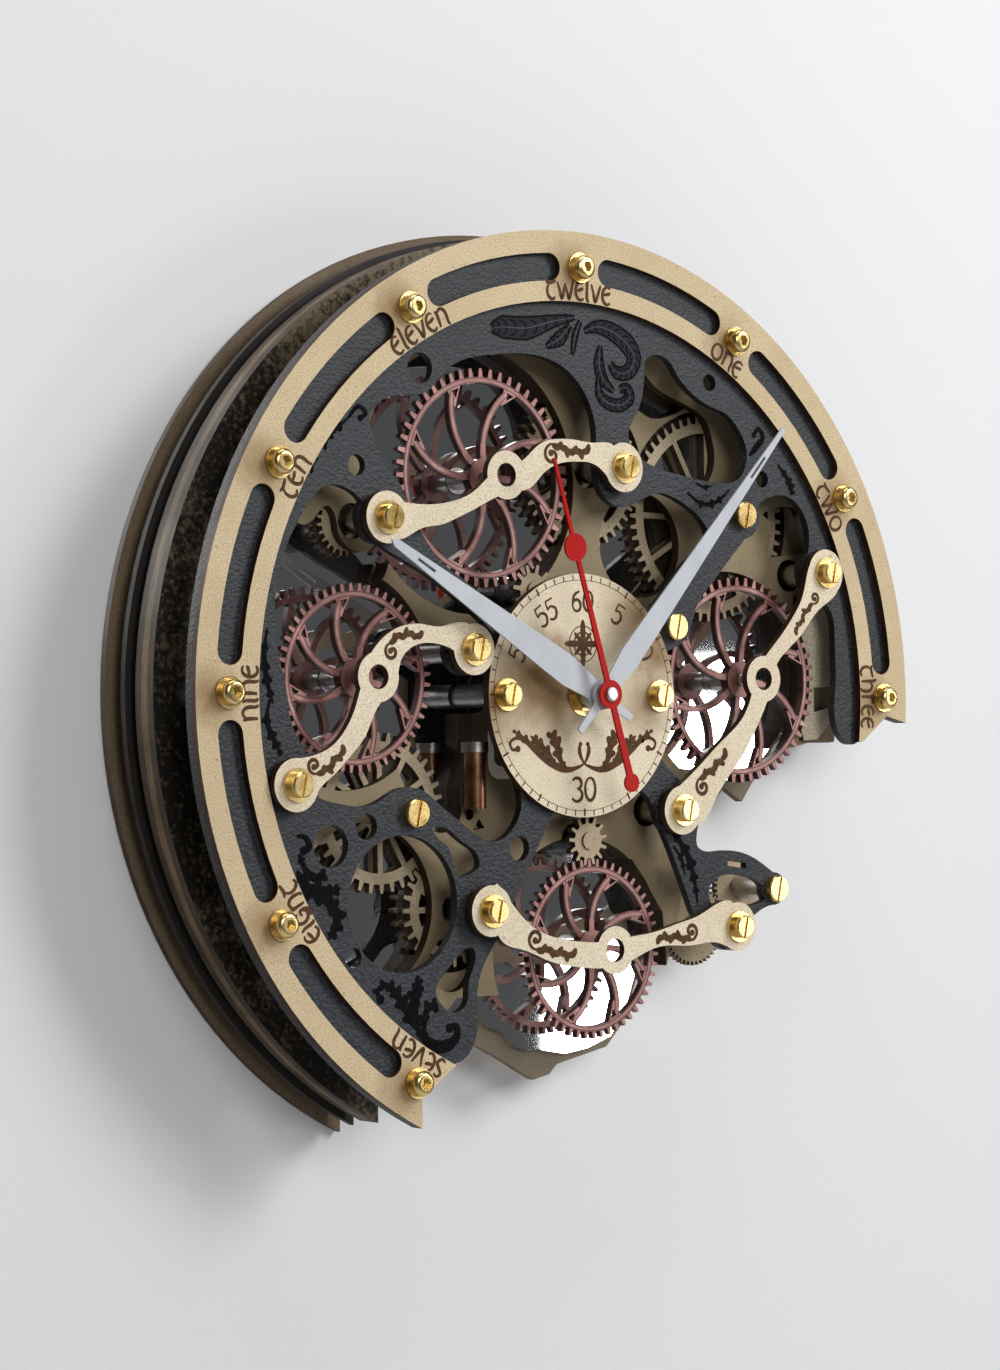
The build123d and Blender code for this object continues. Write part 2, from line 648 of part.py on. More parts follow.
with BuildPart() as mid_front:
    with BuildSketch(at(mid_front_depth)):
        Circle(mid_radius)
        RectangleRounded(hatch_size, hatch_size, hatch_fillet, mode=Mode.SUBTRACT)
    extrude(amount=board)
    for window in mid_windows(mid_front_depth, mid_front_upper_share):
        extrude(window, amount=board, mode=Mode.SUBTRACT)
    extrude(curved(mid_front_depth, mid_wedge_window_share), amount=board, mode=Mode.SUBTRACT)
    extrude(discs(mid_front_depth, [spot(mid_bean_window_share)], mid_bean_window_radius),
            amount=board, mode=Mode.SUBTRACT)
    extrude(curved(mid_front_depth, mid_lobe_share), amount=board)
    for window in mid_holes(mid_front_depth):
        extrude(window, amount=board, mode=Mode.SUBTRACT)
    extrude(discs(mid_front_depth, spots(lobe_hole_share), lobe_hole_radius), amount=board, mode=Mode.SUBTRACT)
    extrude(straight(mid_front_depth, lobe_cut_share), amount=board, mode=Mode.SUBTRACT)

for board_part, board_name in ((mid_rear, "mid_rear"), (mid_front, "mid_front")):
    save(board_part, board_name)

# Front plate
plate_holes = [spot(share) for share in plate_hole_share]
bridge_supports = bridge_ends[:6] + [lower_left_place, lower_right_place]
with BuildPart() as front_plate:
    with BuildSketch(at(plate_back_depth)):
        Circle(rim_radius)
        with BuildLine():
            Spline(*spots(lower_edge_share))
            Line(spot(lower_edge_share[-1]), spot(arm_left_share[0]))
            Spline(*spots(arm_left_share))
            Line(spot(arm_left_share[-1]), spot(hook_edge_share[0]))
            Spline(*spots(hook_edge_share))
            Line(spot(hook_edge_share[-1]), spot(wheel_3_edge_share[0]))
            Spline(*spots(wheel_3_edge_share))
            Polyline(*spots(ring_end_share))
            Line(spot(ring_end_share[-1]), spot(ring_start_share[0]))
            Polyline(*spots(ring_start_share))
        make_face(mode=Mode.SUBTRACT)
    extrude(amount=plate_thickness)
    for shares in (wheel_1_window_share, wheel_2_window_share, upper_window_share, wedge_window_share,
                   bean_window_share, hook_window_share):
        extrude(curved(plate_back_depth, shares), amount=plate_thickness, mode=Mode.SUBTRACT)
    extrude(discs(plate_back_depth, [spot(round_window_share)], round_window_radius),
            amount=plate_thickness, mode=Mode.SUBTRACT)
    extrude(discs(plate_back_depth, [(0, 0)], plate_hub_radius), amount=plate_thickness)
    extrude(discs(plate_back_depth, bridge_supports + [plate_screw_1], plate_lobe_radius), amount=plate_thickness)
    extrude(discs(plate_back_depth, [hook_place], plate_tip_radius), amount=plate_thickness)
    with BuildSketch(at(plate_back_depth)) as neck:
        with BuildLine():
            Line((0, 0), bridge_ends[3])
        trace(line_width=plate_lobe_neck)
    extrude(neck.sketch, amount=plate_thickness, dir=(0, -1, 0))
    for hole_place, hole_radius in zip(plate_holes, plate_hole_radii):
        extrude(discs(plate_back_depth, [hole_place], hole_radius), amount=plate_thickness, mode=Mode.SUBTRACT)
    with BuildSketch(at(plate_back_depth)) as hook_slot:
        with BuildLine():
            Line(*spots(hook_slot_share))
        trace(line_width=hook_slot_width)
    extrude(hook_slot.sketch, amount=plate_thickness, dir=(0, -1, 0), mode=Mode.SUBTRACT)
    extrude(discs(plate_back_depth, bridge_ends + plate_screw_spots + dial_screw_spots + ring_screw_spots,
                  shank_radius + hole_clearance), amount=plate_thickness, mode=Mode.SUBTRACT)
    extrude(discs(plate_back_depth, [(0, 0)], bush_radius + hole_clearance),
            amount=plate_thickness, mode=Mode.SUBTRACT)
save(front_plate, "front_plate")

with BuildPart() as backing_board:
    extrude(straight(mid_face, backing_share), amount=backing_thickness)
    extrude(discs(mid_face, [wheel_places[2]], mid_wheel_3_radius), amount=backing_thickness, mode=Mode.SUBTRACT)
save(backing_board, "backing_board")

# Hour ring
with BuildPart() as hour_ring:
    extrude(discs(plate_face, [(0, 0)], rim_radius, ring_inner_radius), amount=ring_thickness)
    slot_trim = math.degrees(slot_end_distance / slot_radius)
    for hour in ring_screw_hours[:-1]:
        slot_start = clock_angle(30 * hour + 30) + slot_trim
        slot_sweep = 30 - 2 * slot_trim
        with BuildSketch(at(plate_face)):
            with BuildLine():
                CenterArc((0, 0), slot_radius, slot_start, slot_sweep)
            trace(line_width=slot_width)
            with Locations(step_from((0, 0), slot_radius, slot_start),
                           step_from((0, 0), slot_radius, slot_start + slot_sweep)):
                Circle(slot_width / 2)
        extrude(amount=ring_thickness, mode=Mode.SUBTRACT)
    extrude(discs(plate_face, ring_screw_spots, shank_radius + hole_clearance),
            amount=ring_thickness, mode=Mode.SUBTRACT)
    extrude(straight(plate_face, rim_open_share), amount=ring_thickness, mode=Mode.SUBTRACT)
save(hour_ring, "hour_ring")

with BuildPart() as ring_washers:
    bore = shank_radius + hole_clearance
    extrude(discs(ring_face, ring_screw_spots, button_washer_radius, bore), amount=button_washer_thickness)
    extrude(discs(ring_face + button_washer_thickness, ring_screw_spots, button_step_radius, bore),
            amount=button_step_thickness)
save(ring_washers, "ring_washers")

button_depth = ring_face + button_washer_thickness + button_step_thickness
with BuildPart() as ring_screws:
    extrude(discs(button_depth, ring_screw_spots, button_head_radius), amount=button_head_height)
    fillet(ring_screws.faces().sort_by(Axis.Y)[:len(ring_screw_spots)].edges(), button_head_fillet)
    with BuildSketch(at(button_depth + button_head_height - hex_depth)):
        with Locations(*ring_screw_spots):
            RegularPolygon(hex_radius, 6)
    extrude(amount=hex_depth, mode=Mode.SUBTRACT)
    extrude(discs(plate_back_depth - shank_depth, ring_screw_spots, shank_radius),
            amount=button_depth - plate_back_depth + shank_depth)
save(ring_screws, "ring_screws")

with BuildPart() as ring_sleeves:
    extrude(discs(mid_depth, ring_screw_spots, sleeve_radius, sleeve_bore_radius),
            amount=plate_back_depth - mid_depth)
save(ring_sleeves, "ring_sleeves")

# Posts between the base board and the front plate
with BuildPart() as post_sleeves:
    extrude(discs(base_front, sleeve_spots, sleeve_radius, sleeve_bore_radius),
            amount=plate_back_depth - base_front)
save(post_sleeves, "post_sleeves")

gear_back = train_depth
gear_front = train_depth + train_thickness
shoulder_front = gear_back - axial_gap
with BuildPart() as gear_posts:
    extrude(discs(base_front, gear_post_spots, post_foot_radius), amount=shoulder_front - base_front)
    extrude(discs(base_front, gear_post_spots, post_radius), amount=plate_back_depth - shank_depth - axial_gap
            - base_front)
save(gear_posts, "gear_posts")

with BuildPart() as hanging_posts:
    extrude(discs(gear_back - axial_gap - board, hanging_spots, post_foot_radius), amount=board)
    extrude(discs(gear_back - axial_gap, hanging_spots, post_radius),
            amount=plate_back_depth - shank_depth - gear_back)
save(hanging_posts, "hanging_posts")

with BuildPart() as gear_sleeves:
    extrude(discs(gear_front + axial_gap, gear_post_spots + hanging_spots, sleeve_radius,
                  post_radius + running_clearance), amount=plate_back_depth - gear_front - axial_gap)
save(gear_sleeves, "gear_sleeves")

with BuildPart() as wheel_axles:
    wheel_back = wheel_depth - wheel_hub_rise
    wheel_front = wheel_depth + wheel_thickness + wheel_hub_rise
    extrude(discs(base_front, wheel_places, axle_flange_radius), amount=axle_flange_thickness)
    extrude(discs(base_front, wheel_places, axle_shoulder_radius), amount=wheel_back - axial_gap - base_front)
    extrude(discs(wheel_back - axial_gap, wheel_places, axle_radius),
            amount=wheel_front - wheel_back + 2 * axial_gap)
    extrude(discs(wheel_front + axial_gap, wheel_places, axle_cap_radius), amount=axle_cap_height)
    fillet(wheel_axles.faces().sort_by(Axis.Y)[:len(wheel_places)].edges(), axle_cap_height * cap_fillet_share)
save(wheel_axles, "wheel_axles")

# Front wheels with bowed spokes
wheel_names = ("wheel_upper_left", "wheel_left", "wheel_right", "wheel_bottom")
for index, wheel_name in enumerate(wheel_names):
    centre = wheel_places[index]
    module = wheel_modules[index]
    turn = wheel_turns[index]
    root_radius = module * (wheel_teeth / 2 - dedendum_share)
    rim_inside = root_radius - wheel_rim_width
    with BuildPart() as wheel:
        extrude(gear(wheel_depth, centre, module, wheel_teeth, turn), amount=wheel_thickness)
        extrude(discs(wheel_depth, [centre], rim_inside), amount=wheel_thickness, mode=Mode.SUBTRACT)
        for spoke in range(wheel_spokes):
            rim_angle = turn + spoke * 360 / wheel_spokes
            start = step_from(centre, wheel_hub_radius * spoke_root_share, rim_angle + spoke_lead)
            end = step_from(centre, rim_inside + wheel_rim_width / 2, rim_angle)
            middle = ((start[0] + end[0]) / 2, (start[1] + end[1]) / 2)
            bow = step_from(middle, spoke_bow_share * root_radius, rim_angle + 90)
            fork_base = rim_inside + wheel_rim_width / 2
            fork_corners = [step_from(step_from(centre, fork_base, rim_angle), fork_width / 2, rim_angle + 90),
                            step_from(step_from(centre, fork_base - fork_length, rim_angle), spoke_width,
                                      rim_angle + 90),
                            step_from(step_from(centre, fork_base, rim_angle), fork_width / 2, rim_angle - 90)]
            hole_base = rim_inside - fork_hole_length / 4
            hole_corners = [step_from(step_from(centre, hole_base, rim_angle), fork_hole_width / 2,
                                      rim_angle + 90),
                            step_from(step_from(centre, hole_base - fork_hole_length, rim_angle),
                                      fork_hole_width / 4, rim_angle + 90),
                            step_from(step_from(centre, hole_base, rim_angle), fork_hole_width / 2,
                                      rim_angle - 90)]
            with BuildSketch(at(wheel_depth)):
                with BuildLine():
                    ThreePointArc(start, bow, end)
                trace(line_width=spoke_width)
                with BuildLine():
                    Polyline(*fork_corners, close=True)
                make_face()
                with BuildLine():
                    Polyline(*hole_corners, close=True)
                make_face(mode=Mode.SUBTRACT)
            extrude(amount=wheel_thickness)
        extrude(discs(wheel_depth - wheel_hub_rise, [centre], wheel_hub_radius),
                amount=wheel_thickness + 2 * wheel_hub_rise)
        extrude(discs(wheel_depth - wheel_hub_rise, [centre], axle_radius + running_clearance),
                amount=wheel_thickness + 2 * wheel_hub_rise, mode=Mode.SUBTRACT)
    save(wheel, wheel_name)

# Driving pinions on motor shafts
pinion_names = ("pinion_upper_left", "pinion_left", "pinion_right", "pinion_bottom")
motor_front = wheel_depth - pinion_hub_rise - motor_seat_gap
for index, pinion_name in enumerate(pinion_names):
    centre = pinion_places[index]
    phase = pinion_phase(pinion_directions[index], wheel_turns[index], wheel_teeth, pinion_counts[index])
    with BuildPart() as pinion:
        extrude(gear(wheel_depth, centre, wheel_modules[index], pinion_counts[index], phase),
                amount=wheel_thickness)
        extrude(discs(wheel_depth - pinion_hub_rise, [centre], pinion_hub_radius),
                amount=wheel_thickness + 2 * pinion_hub_rise)
        extrude(discs(motor_front - pinion_shaft_length, [centre], pinion_shaft_radius),
                amount=pinion_shaft_length + motor_seat_gap + pinion_hub_rise)
    save(pinion, pinion_name)

with BuildPart() as gear_motors:
    extrude(discs(base_front, pinion_places, motor_radius), amount=motor_front - base_front)
    chamfer(gear_motors.faces().sort_by(Axis.Y)[:len(pinion_places)].edges(), motor_edge)
    bore_depth = pinion_shaft_length + axial_gap
    extrude(discs(motor_front - bore_depth, pinion_places, pinion_shaft_radius + running_clearance),
            amount=bore_depth, mode=Mode.SUBTRACT)
save(gear_motors, "gear_motors")

# Wooden gears
train_phases = {}
train_phases["gear_upper_left"] = 0.0
train_phases["gear_upper"] = 0.0
train_phases["gear_upper_right"] = pinion_phase(upper_right_direction, 0.0, upper_teeth, upper_right_teeth)
train_phases["gear_lower_left"] = 0.0
train_phases["gear_left"] = pinion_phase(train_5_direction, 0.0, lower_left_teeth, left_teeth)
train_phases["gear_lower_right"] = 0.0
train_phases["gear_hook"] = pinion_phase(plate_screw_4_direction, 0.0, lower_right_teeth, hook_teeth)
for gear_name, gear_place, gear_module, gear_teeth in train_gears:
    root_radius = gear_module * (gear_teeth / 2 - dedendum_share)
    with BuildPart() as train_gear:
        extrude(gear(train_depth, gear_place, gear_module, gear_teeth, train_phases[gear_name]),
                amount=train_thickness)
        if root_radius > 2 * train_hub_radius + train_spoke_width:
            extrude(between_spokes(train_depth, gear_place, train_hub_radius, root_radius - train_rim_width),
                    amount=train_thickness, mode=Mode.SUBTRACT)
        extrude(discs(train_depth, [gear_place], post_radius + running_clearance),
                amount=train_thickness, mode=Mode.SUBTRACT)
    save(train_gear, gear_name)

# Bridges and their fastenings
bridge_names = ("bridge_upper_left", "bridge_left", "bridge_right", "bridge_bottom")
for index, bridge_name in enumerate(bridge_names):
    ends = bridge_ends[2 * index:2 * index + 2]
    with BuildPart() as bridge:
        extrude(curved(bridge_depth, bridge_edges[index]), amount=bridge_thickness)
        extrude(discs(bridge_depth, ends, plate_lobe_radius), amount=bridge_thickness)
        extrude(discs(bridge_depth, [wheel_places[index]], bridge_eye_radius), amount=bridge_thickness)
        extrude(discs(bridge_depth, [wheel_places[index]], bridge_eye_hole_radius),
                amount=bridge_thickness, mode=Mode.SUBTRACT)
        extrude(discs(bridge_depth, ends, shank_radius + hole_clearance),
                amount=bridge_thickness, mode=Mode.SUBTRACT)
    save(bridge, bridge_name)

with BuildPart() as bridge_spacers:
    extrude(discs(plate_face, bridge_ends, bridge_spacer_radius, shank_radius + hole_clearance),
            amount=bridge_gap)
save(bridge_spacers, "bridge_spacers")

with BuildPart() as bridge_washers:
    extrude(discs(bridge_face, bridge_ends, washer_radius, shank_radius + hole_clearance),
            amount=washer_thickness)
save(bridge_washers, "bridge_washers")


def slotted_screws(head_depth, places, shank_start, head_radius):
    with BuildPart() as screws:
        extrude(discs(head_depth, places, head_radius), amount=slotted_head_height)
        chamfer(screws.faces().sort_by(Axis.Y)[:len(places)].edges(), slotted_edge)
        with BuildSketch(at(head_depth + slotted_head_height - slot_cut_depth)):
            with Locations(*places):
                Rectangle(slot_cut_width, 3 * head_radius, rotation=slot_turn)
        extrude(amount=slot_cut_depth, mode=Mode.SUBTRACT)
        extrude(discs(shank_start, places, shank_radius), amount=head_depth - shank_start)
    return screws


bridge_screws = slotted_screws(bridge_face + washer_thickness, bridge_ends, plate_back_depth - shank_depth,
                               slotted_head_radius)
save(bridge_screws, "bridge_screws")

plate_screws = slotted_screws(plate_face, plate_screw_spots, plate_back_depth, plate_head_radius)
save(plate_screws, "plate_screws")

with BuildPart() as dial:
    extrude(discs(plate_face, [(0, 0)], dial_radius, bush_radius + hole_clearance), amount=ring_thickness)
    extrude(discs(plate_face, dial_screw_spots, shank_radius + hole_clearance),
            amount=ring_thickness, mode=Mode.SUBTRACT)
save(dial, "dial")

with BuildPart() as dial_washers:
    extrude(discs(ring_face, dial_screw_spots, washer_radius, shank_radius + hole_clearance),
            amount=washer_thickness)
save(dial_washers, "dial_washers")

dial_screws = slotted_screws(ring_face + washer_thickness, dial_screw_spots, plate_back_depth - shank_depth,
                             slotted_head_radius)
save(dial_screws, "dial_screws")

# Quartz movement behind the dial
movement_back = plate_back_depth - movement_thickness
with BuildPart() as movement:
    with BuildSketch(at(movement_back)):
        RectangleRounded(movement_size, movement_size, movement_fillet)
    extrude(amount=movement_thickness)
    with BuildSketch(at(movement_back)):
        with Locations((0, -battery_offset)):
            Rectangle(battery_length + 2 * hole_clearance, 2 * battery_radius + 2 * hole_clearance)
    extrude(amount=battery_recess + battery_radius / 2, mode=Mode.SUBTRACT)
    extrude(discs(tube_start_depth - 2 * axial_gap, [(0, 0)], hour_tube_radius + running_clearance),
            amount=plate_back_depth - tube_start_depth + 2 * axial_gap, mode=Mode.SUBTRACT)
save(movement, "movement")

battery_centre_depth = movement_back + battery_recess + battery_radius / 2 - battery_radius
with BuildPart() as battery:
    with BuildSketch(Plane(origin=(-battery_length / 2, -battery_centre_depth, -battery_offset),
                           x_dir=(0, 0, 1), z_dir=(1, 0, 0))):
        Circle(battery_radius)
    extrude(amount=battery_length)
save(battery, "battery")

bush_front = ring_face + bush_rise
with BuildPart() as movement_bush:
    extrude(discs(plate_back_depth, [(0, 0)], bush_radius, hour_tube_radius + running_clearance),
            amount=bush_front - plate_back_depth)
save(movement_bush, "movement_bush")

with BuildPart() as bush_nut:
    extrude(discs(ring_face, [(0, 0)], nut_washer_radius, bush_radius), amount=nut_washer_thickness)
    with BuildSketch(at(ring_face + nut_washer_thickness)):
        RegularPolygon(nut_radius, 6)
        Circle(bush_radius, mode=Mode.SUBTRACT)
    extrude(amount=nut_thickness)
save(bush_nut, "bush_nut")


def hand_profile(depth, length, angle, width_shares, hub_radius, slot_shares):
    heading = clock_angle(angle)
    left = []
    right = []
    for along, half in width_shares:
        point = step_from((0, 0), along * length, heading)
        left.append(step_from(point, half * length, heading + 90))
        right.append(step_from(point, half * length, heading - 90))
    slot_from = step_from((0, 0), slot_shares[0] * length, heading)
    slot_to = step_from((0, 0), slot_shares[1] * length, heading)
    with BuildSketch(at(depth)) as profile:
        with BuildLine():
            Polyline(*left, step_from((0, 0), length, heading), *reversed(right), close=True)
        make_face()
        Circle(hub_radius)
        with BuildLine():
            Line(slot_from, slot_to)
        trace(line_width=hand_slot_width, mode=Mode.SUBTRACT)
    return profile.sketch


hand_gap = axial_gap
with BuildPart() as hour_hand:
    extrude(hand_profile(hour_hand_depth, hour_length, hour_angle, hour_width_share, hour_hub_radius,
                         hand_slot_share[0]), amount=hand_thickness)
    extrude(discs(bush_front + hand_gap, [(0, 0)], collar_radius), amount=hour_hand_depth - bush_front - hand_gap)
    extrude(discs(tube_start_depth, [(0, 0)], hour_tube_radius), amount=hour_hand_depth - tube_start_depth)
    extrude(discs(tube_start_depth, [(0, 0)], minute_tube_radius + running_clearance),
            amount=hour_hand_depth + hand_thickness - tube_start_depth, mode=Mode.SUBTRACT)
save(hour_hand, "hour_hand")

with BuildPart() as minute_hand:
    extrude(hand_profile(minute_hand_depth, minute_length, minute_angle, minute_width_share,
                         minute_hub_radius, hand_slot_share[1]), amount=hand_thickness)
    hour_top = hour_hand_depth + hand_thickness + hand_gap
    extrude(discs(hour_top, [(0, 0)], collar_radius), amount=minute_hand_depth - hour_top)
    extrude(discs(tube_start_depth, [(0, 0)], minute_tube_radius), amount=minute_hand_depth - tube_start_depth)
    extrude(discs(tube_start_depth, [(0, 0)], second_pin_radius + running_clearance),
            amount=minute_hand_depth + hand_thickness - tube_start_depth, mode=Mode.SUBTRACT)
save(minute_hand, "minute_hand")

second_heading = clock_angle(second_angle)
with BuildPart() as second_hand:
    with BuildSketch(at(second_hand_depth)):
        tail_end = step_from((0, 0), -second_tail, second_heading)
        tip = step_from((0, 0), second_length, second_heading)
        with BuildLine():
            Polyline(step_from(tail_end, second_root_width / 2, second_heading + 90),
                     step_from(tip, second_tip_width / 2, second_heading + 90),
                     step_from(tip, second_tip_width / 2, second_heading - 90),
                     step_from(tail_end, second_root_width / 2, second_heading - 90), close=True)
        make_face()
        Circle(second_hub_radius)
        with Locations(step_from((0, 0), second_disc_distance, second_heading)):
            Circle(second_disc_radius)
        with Locations(tail_end):
            Circle(second_weight_radius)
    extrude(amount=second_thickness)
    extrude(discs(tube_start_depth, [(0, 0)], second_pin_radius), amount=second_hand_depth - tube_start_depth)
    minute_top = minute_hand_depth + hand_thickness + hand_gap
    extrude(discs(minute_top, [(0, 0)], minute_tube_radius), amount=second_hand_depth - minute_top)
save(second_hand, "second_hand")

with BuildPart() as second_cap:
    extrude(discs(second_hand_depth + second_thickness, [(0, 0)], second_cap_radius), amount=second_cap_height)
    fillet(second_cap.faces().sort_by(Axis.Y)[0].edges(), second_cap_height * cap_fillet_share)
save(second_cap, "second_cap")

# Side motor
side_place = spot(side_motor_share)
side_depth = mid_face + side_collar_radius
side_bottom = side_place[1] - side_motor_length / 2
with BuildPart() as side_motor:
    with BuildSketch(Plane(origin=(side_place[0], -side_depth, side_bottom), x_dir=(1, 0, 0), z_dir=(0, 0, 1))):
        Circle(side_motor_radius)
    extrude(amount=side_motor_length)
save(side_motor, "side_motor")

with BuildPart() as side_collar:
    with BuildSketch(Plane(origin=(side_place[0], -side_depth, side_bottom + side_motor_length),
                           x_dir=(1, 0, 0), z_dir=(0, 0, 1))):
        Circle(side_collar_radius)
    extrude(amount=side_collar_length)
save(side_collar, "side_collar")
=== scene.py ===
import math

import bpy
from mathutils import Matrix, Vector


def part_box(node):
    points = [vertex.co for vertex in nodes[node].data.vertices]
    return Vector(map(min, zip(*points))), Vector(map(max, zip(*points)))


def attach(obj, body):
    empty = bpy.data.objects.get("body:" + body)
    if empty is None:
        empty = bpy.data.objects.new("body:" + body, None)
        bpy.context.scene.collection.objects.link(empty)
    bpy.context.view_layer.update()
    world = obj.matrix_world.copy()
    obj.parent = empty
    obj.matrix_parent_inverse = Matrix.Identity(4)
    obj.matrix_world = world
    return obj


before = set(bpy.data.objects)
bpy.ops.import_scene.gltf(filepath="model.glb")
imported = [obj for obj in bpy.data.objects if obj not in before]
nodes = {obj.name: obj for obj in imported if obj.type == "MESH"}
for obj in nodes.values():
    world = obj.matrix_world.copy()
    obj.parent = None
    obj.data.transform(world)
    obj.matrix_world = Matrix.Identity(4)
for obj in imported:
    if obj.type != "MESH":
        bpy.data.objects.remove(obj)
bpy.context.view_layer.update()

# Millimetres, as seen from the front: x to the right, z up, depth out from the wall
MM = 0.001
WHEEL_FACE = 44.0
PLATE_FACE = 53.0
RING_FACE = 56.0
BRIDGE_FACE = 58.5
RING_SCREW_RADIUS = 170.6
WORD_RADIUS = 157.7
WORD_HEIGHT = 9.5
SEVEN_SHIFT = 1.9
TRACK_RADIUS = 45.9
TRACK_END = 48.0
FIGURE_RADIUS = 33.6
FIGURE_HEIGHT = 8.2
BOTTOM_FIGURE_HEIGHT = 9.4
BOTTOM_FIGURE_LEFT = -6.9
BOTTOM_FIGURE_BASE = -42.0
ROSE_HEIGHT = 20.5
HUB_RADIUS = 7.6
RIM_WIDTH = 2.3
WHEEL_TEETH = 52
TOOTH_DEPTH = 1.2
SPOKES = 8
SPOKE_START = 0.8
SPOKE_LEAN = 20.0
SPOKE_BOW = 0.13
SPOKE_LINE_OFFSET = 0.95
LAYER_STEP = 0.002
LAYERS = 25
RIBBON_THICKNESS = 0.08
CURL_POINTS = 24
CURL_INNER = 0.22
CURL_TURN = 400

hour_names = {7: "seven", 8: "eight", 9: "nine", 10: "ten", 11: "eleven", 12: "twelve", 1: "one", 2: "two",
              3: "three"}


def point(x, z, depth):
    return Vector((x * MM, -depth * MM, z * MM))


# Place at a distance from another one, at an angle in degrees from the right
def away(place, distance, angle):
    turn = math.radians(angle)
    return (place[0] + distance * math.cos(turn), place[1] + distance * math.sin(turn))


# Node helpers for the materials
class Shader:
    def __init__(self, name):
        self.material = bpy.data.materials.new(name)
        self.material.use_nodes = True
        self.nodes = self.material.node_tree.nodes
        self.links = self.material.node_tree.links
        self.bsdf = self.nodes["Principled BSDF"]
        self.coords = self.nodes.new("ShaderNodeTexCoord").outputs["Object"]
        self.normal = self.nodes.new("ShaderNodeNewGeometry").outputs["Normal"]

    def put(self, target, value):
        if hasattr(value, "is_output") or hasattr(value, "links"):
            self.links.new(value, target)
        else:
            target.default_value = value

    def noise(self, scale, detail=4.0, rough=0.55, stretch=(1, 1, 1)):
        mapping = self.nodes.new("ShaderNodeMapping")
        mapping.inputs["Scale"].default_value = stretch
        self.links.new(self.coords, mapping.inputs["Vector"])
        node = self.nodes.new("ShaderNodeTexNoise")
        node.inputs["Scale"].default_value = scale
        node.inputs["Detail"].default_value = detail
        node.inputs["Roughness"].default_value = rough
        self.links.new(mapping.outputs["Vector"], node.inputs["Vector"])
        return node.outputs["Fac"]

    def ramp(self, value, stops):
        node = self.nodes.new("ShaderNodeValToRGB")
        ramp = node.color_ramp
        while len(ramp.elements) < len(stops):
            ramp.elements.new(0.5)
        for element, (place, colour) in zip(ramp.elements, stops):
            element.position = place
            element.color = (*colour, 1)
        self.links.new(value, node.inputs["Fac"])
        return node.outputs["Color"]

    def mix(self, factor, first, second):
        node = self.nodes.new("ShaderNodeMix")
        node.data_type = "RGBA"
        self.put(node.inputs[0], factor)
        for socket, value in ((node.inputs[6], first), (node.inputs[7], second)):
            if isinstance(value, tuple) and len(value) == 3:
                value = (*value, 1)
            self.put(socket, value)
        return node.outputs[2]

    def math(self, operation, first, second=0.0, clamp=False):
        node = self.nodes.new("ShaderNodeMath")
        node.operation = operation
        node.use_clamp = clamp
        self.put(node.inputs[0], first)
        self.put(node.inputs[1], second)
        return node.outputs[0]

    def axis(self, vector, name):
        node = self.nodes.new("ShaderNodeSeparateXYZ")
        self.links.new(vector, node.inputs[0])
        return node.outputs[name]

    def distance(self, where):
        node = self.nodes.new("ShaderNodeVectorMath")
        node.operation = "DISTANCE"
        self.links.new(self.coords, node.inputs[0])
        node.inputs[1].default_value = where
        return node.outputs["Value"]

    def facing(self):
        return self.math("GREATER_THAN", self.math("ABSOLUTE", self.axis(self.normal, "Y")), 0.75)

    def bump(self, height, strength, distance=0.0002):
        node = self.nodes.new("ShaderNodeBump")
        node.inputs["Strength"].default_value = strength
        node.inputs["Distance"].default_value = distance
        self.links.new(height, node.inputs["Height"])
        self.links.new(node.outputs["Normal"], self.bsdf.inputs["Normal"])

    def finish(self, colour, roughness, metallic=0.0, specular=0.5):
        self.put(self.bsdf.inputs["Base Color"], colour if not isinstance(colour, tuple) else (*colour, 1))
        self.put(self.bsdf.inputs["Roughness"], roughness)
        self.bsdf.inputs["Metallic"].default_value = metallic
        self.bsdf.inputs["Specular IOR Level"].default_value = specular
        return self.material


def grey(shader, value, low, high):
    return shader.ramp(value, ((0.3, (low, low, low)), (0.7, (high, high, high))))


def lighter(colour, factor):
    return tuple(min(1, factor * channel) for channel in colour)


# Brown marks that fade out with the distance from their places: partly smoke stains, partly painted shadow
# cast by the screws
def smoke_and_painted_shadow(shader, colour, places, depth):
    ragged = shader.math("MULTIPLY", shader.noise(120.0, 5.0, 0.65), 0.012)
    for x, z, reach in places:
        near = shader.math("ADD", shader.distance(point(x, z, depth)), ragged)
        shade = shader.math("SUBTRACT", 1.3, shader.math("DIVIDE", near, reach * MM), clamp=True)
        # The brown mixed in near each place stands for smoke stain and painted shadow of the screw
        colour = shader.mix(shader.math("MULTIPLY", shade, 0.9), colour, (0.20, 0.105, 0.030))
    return colour
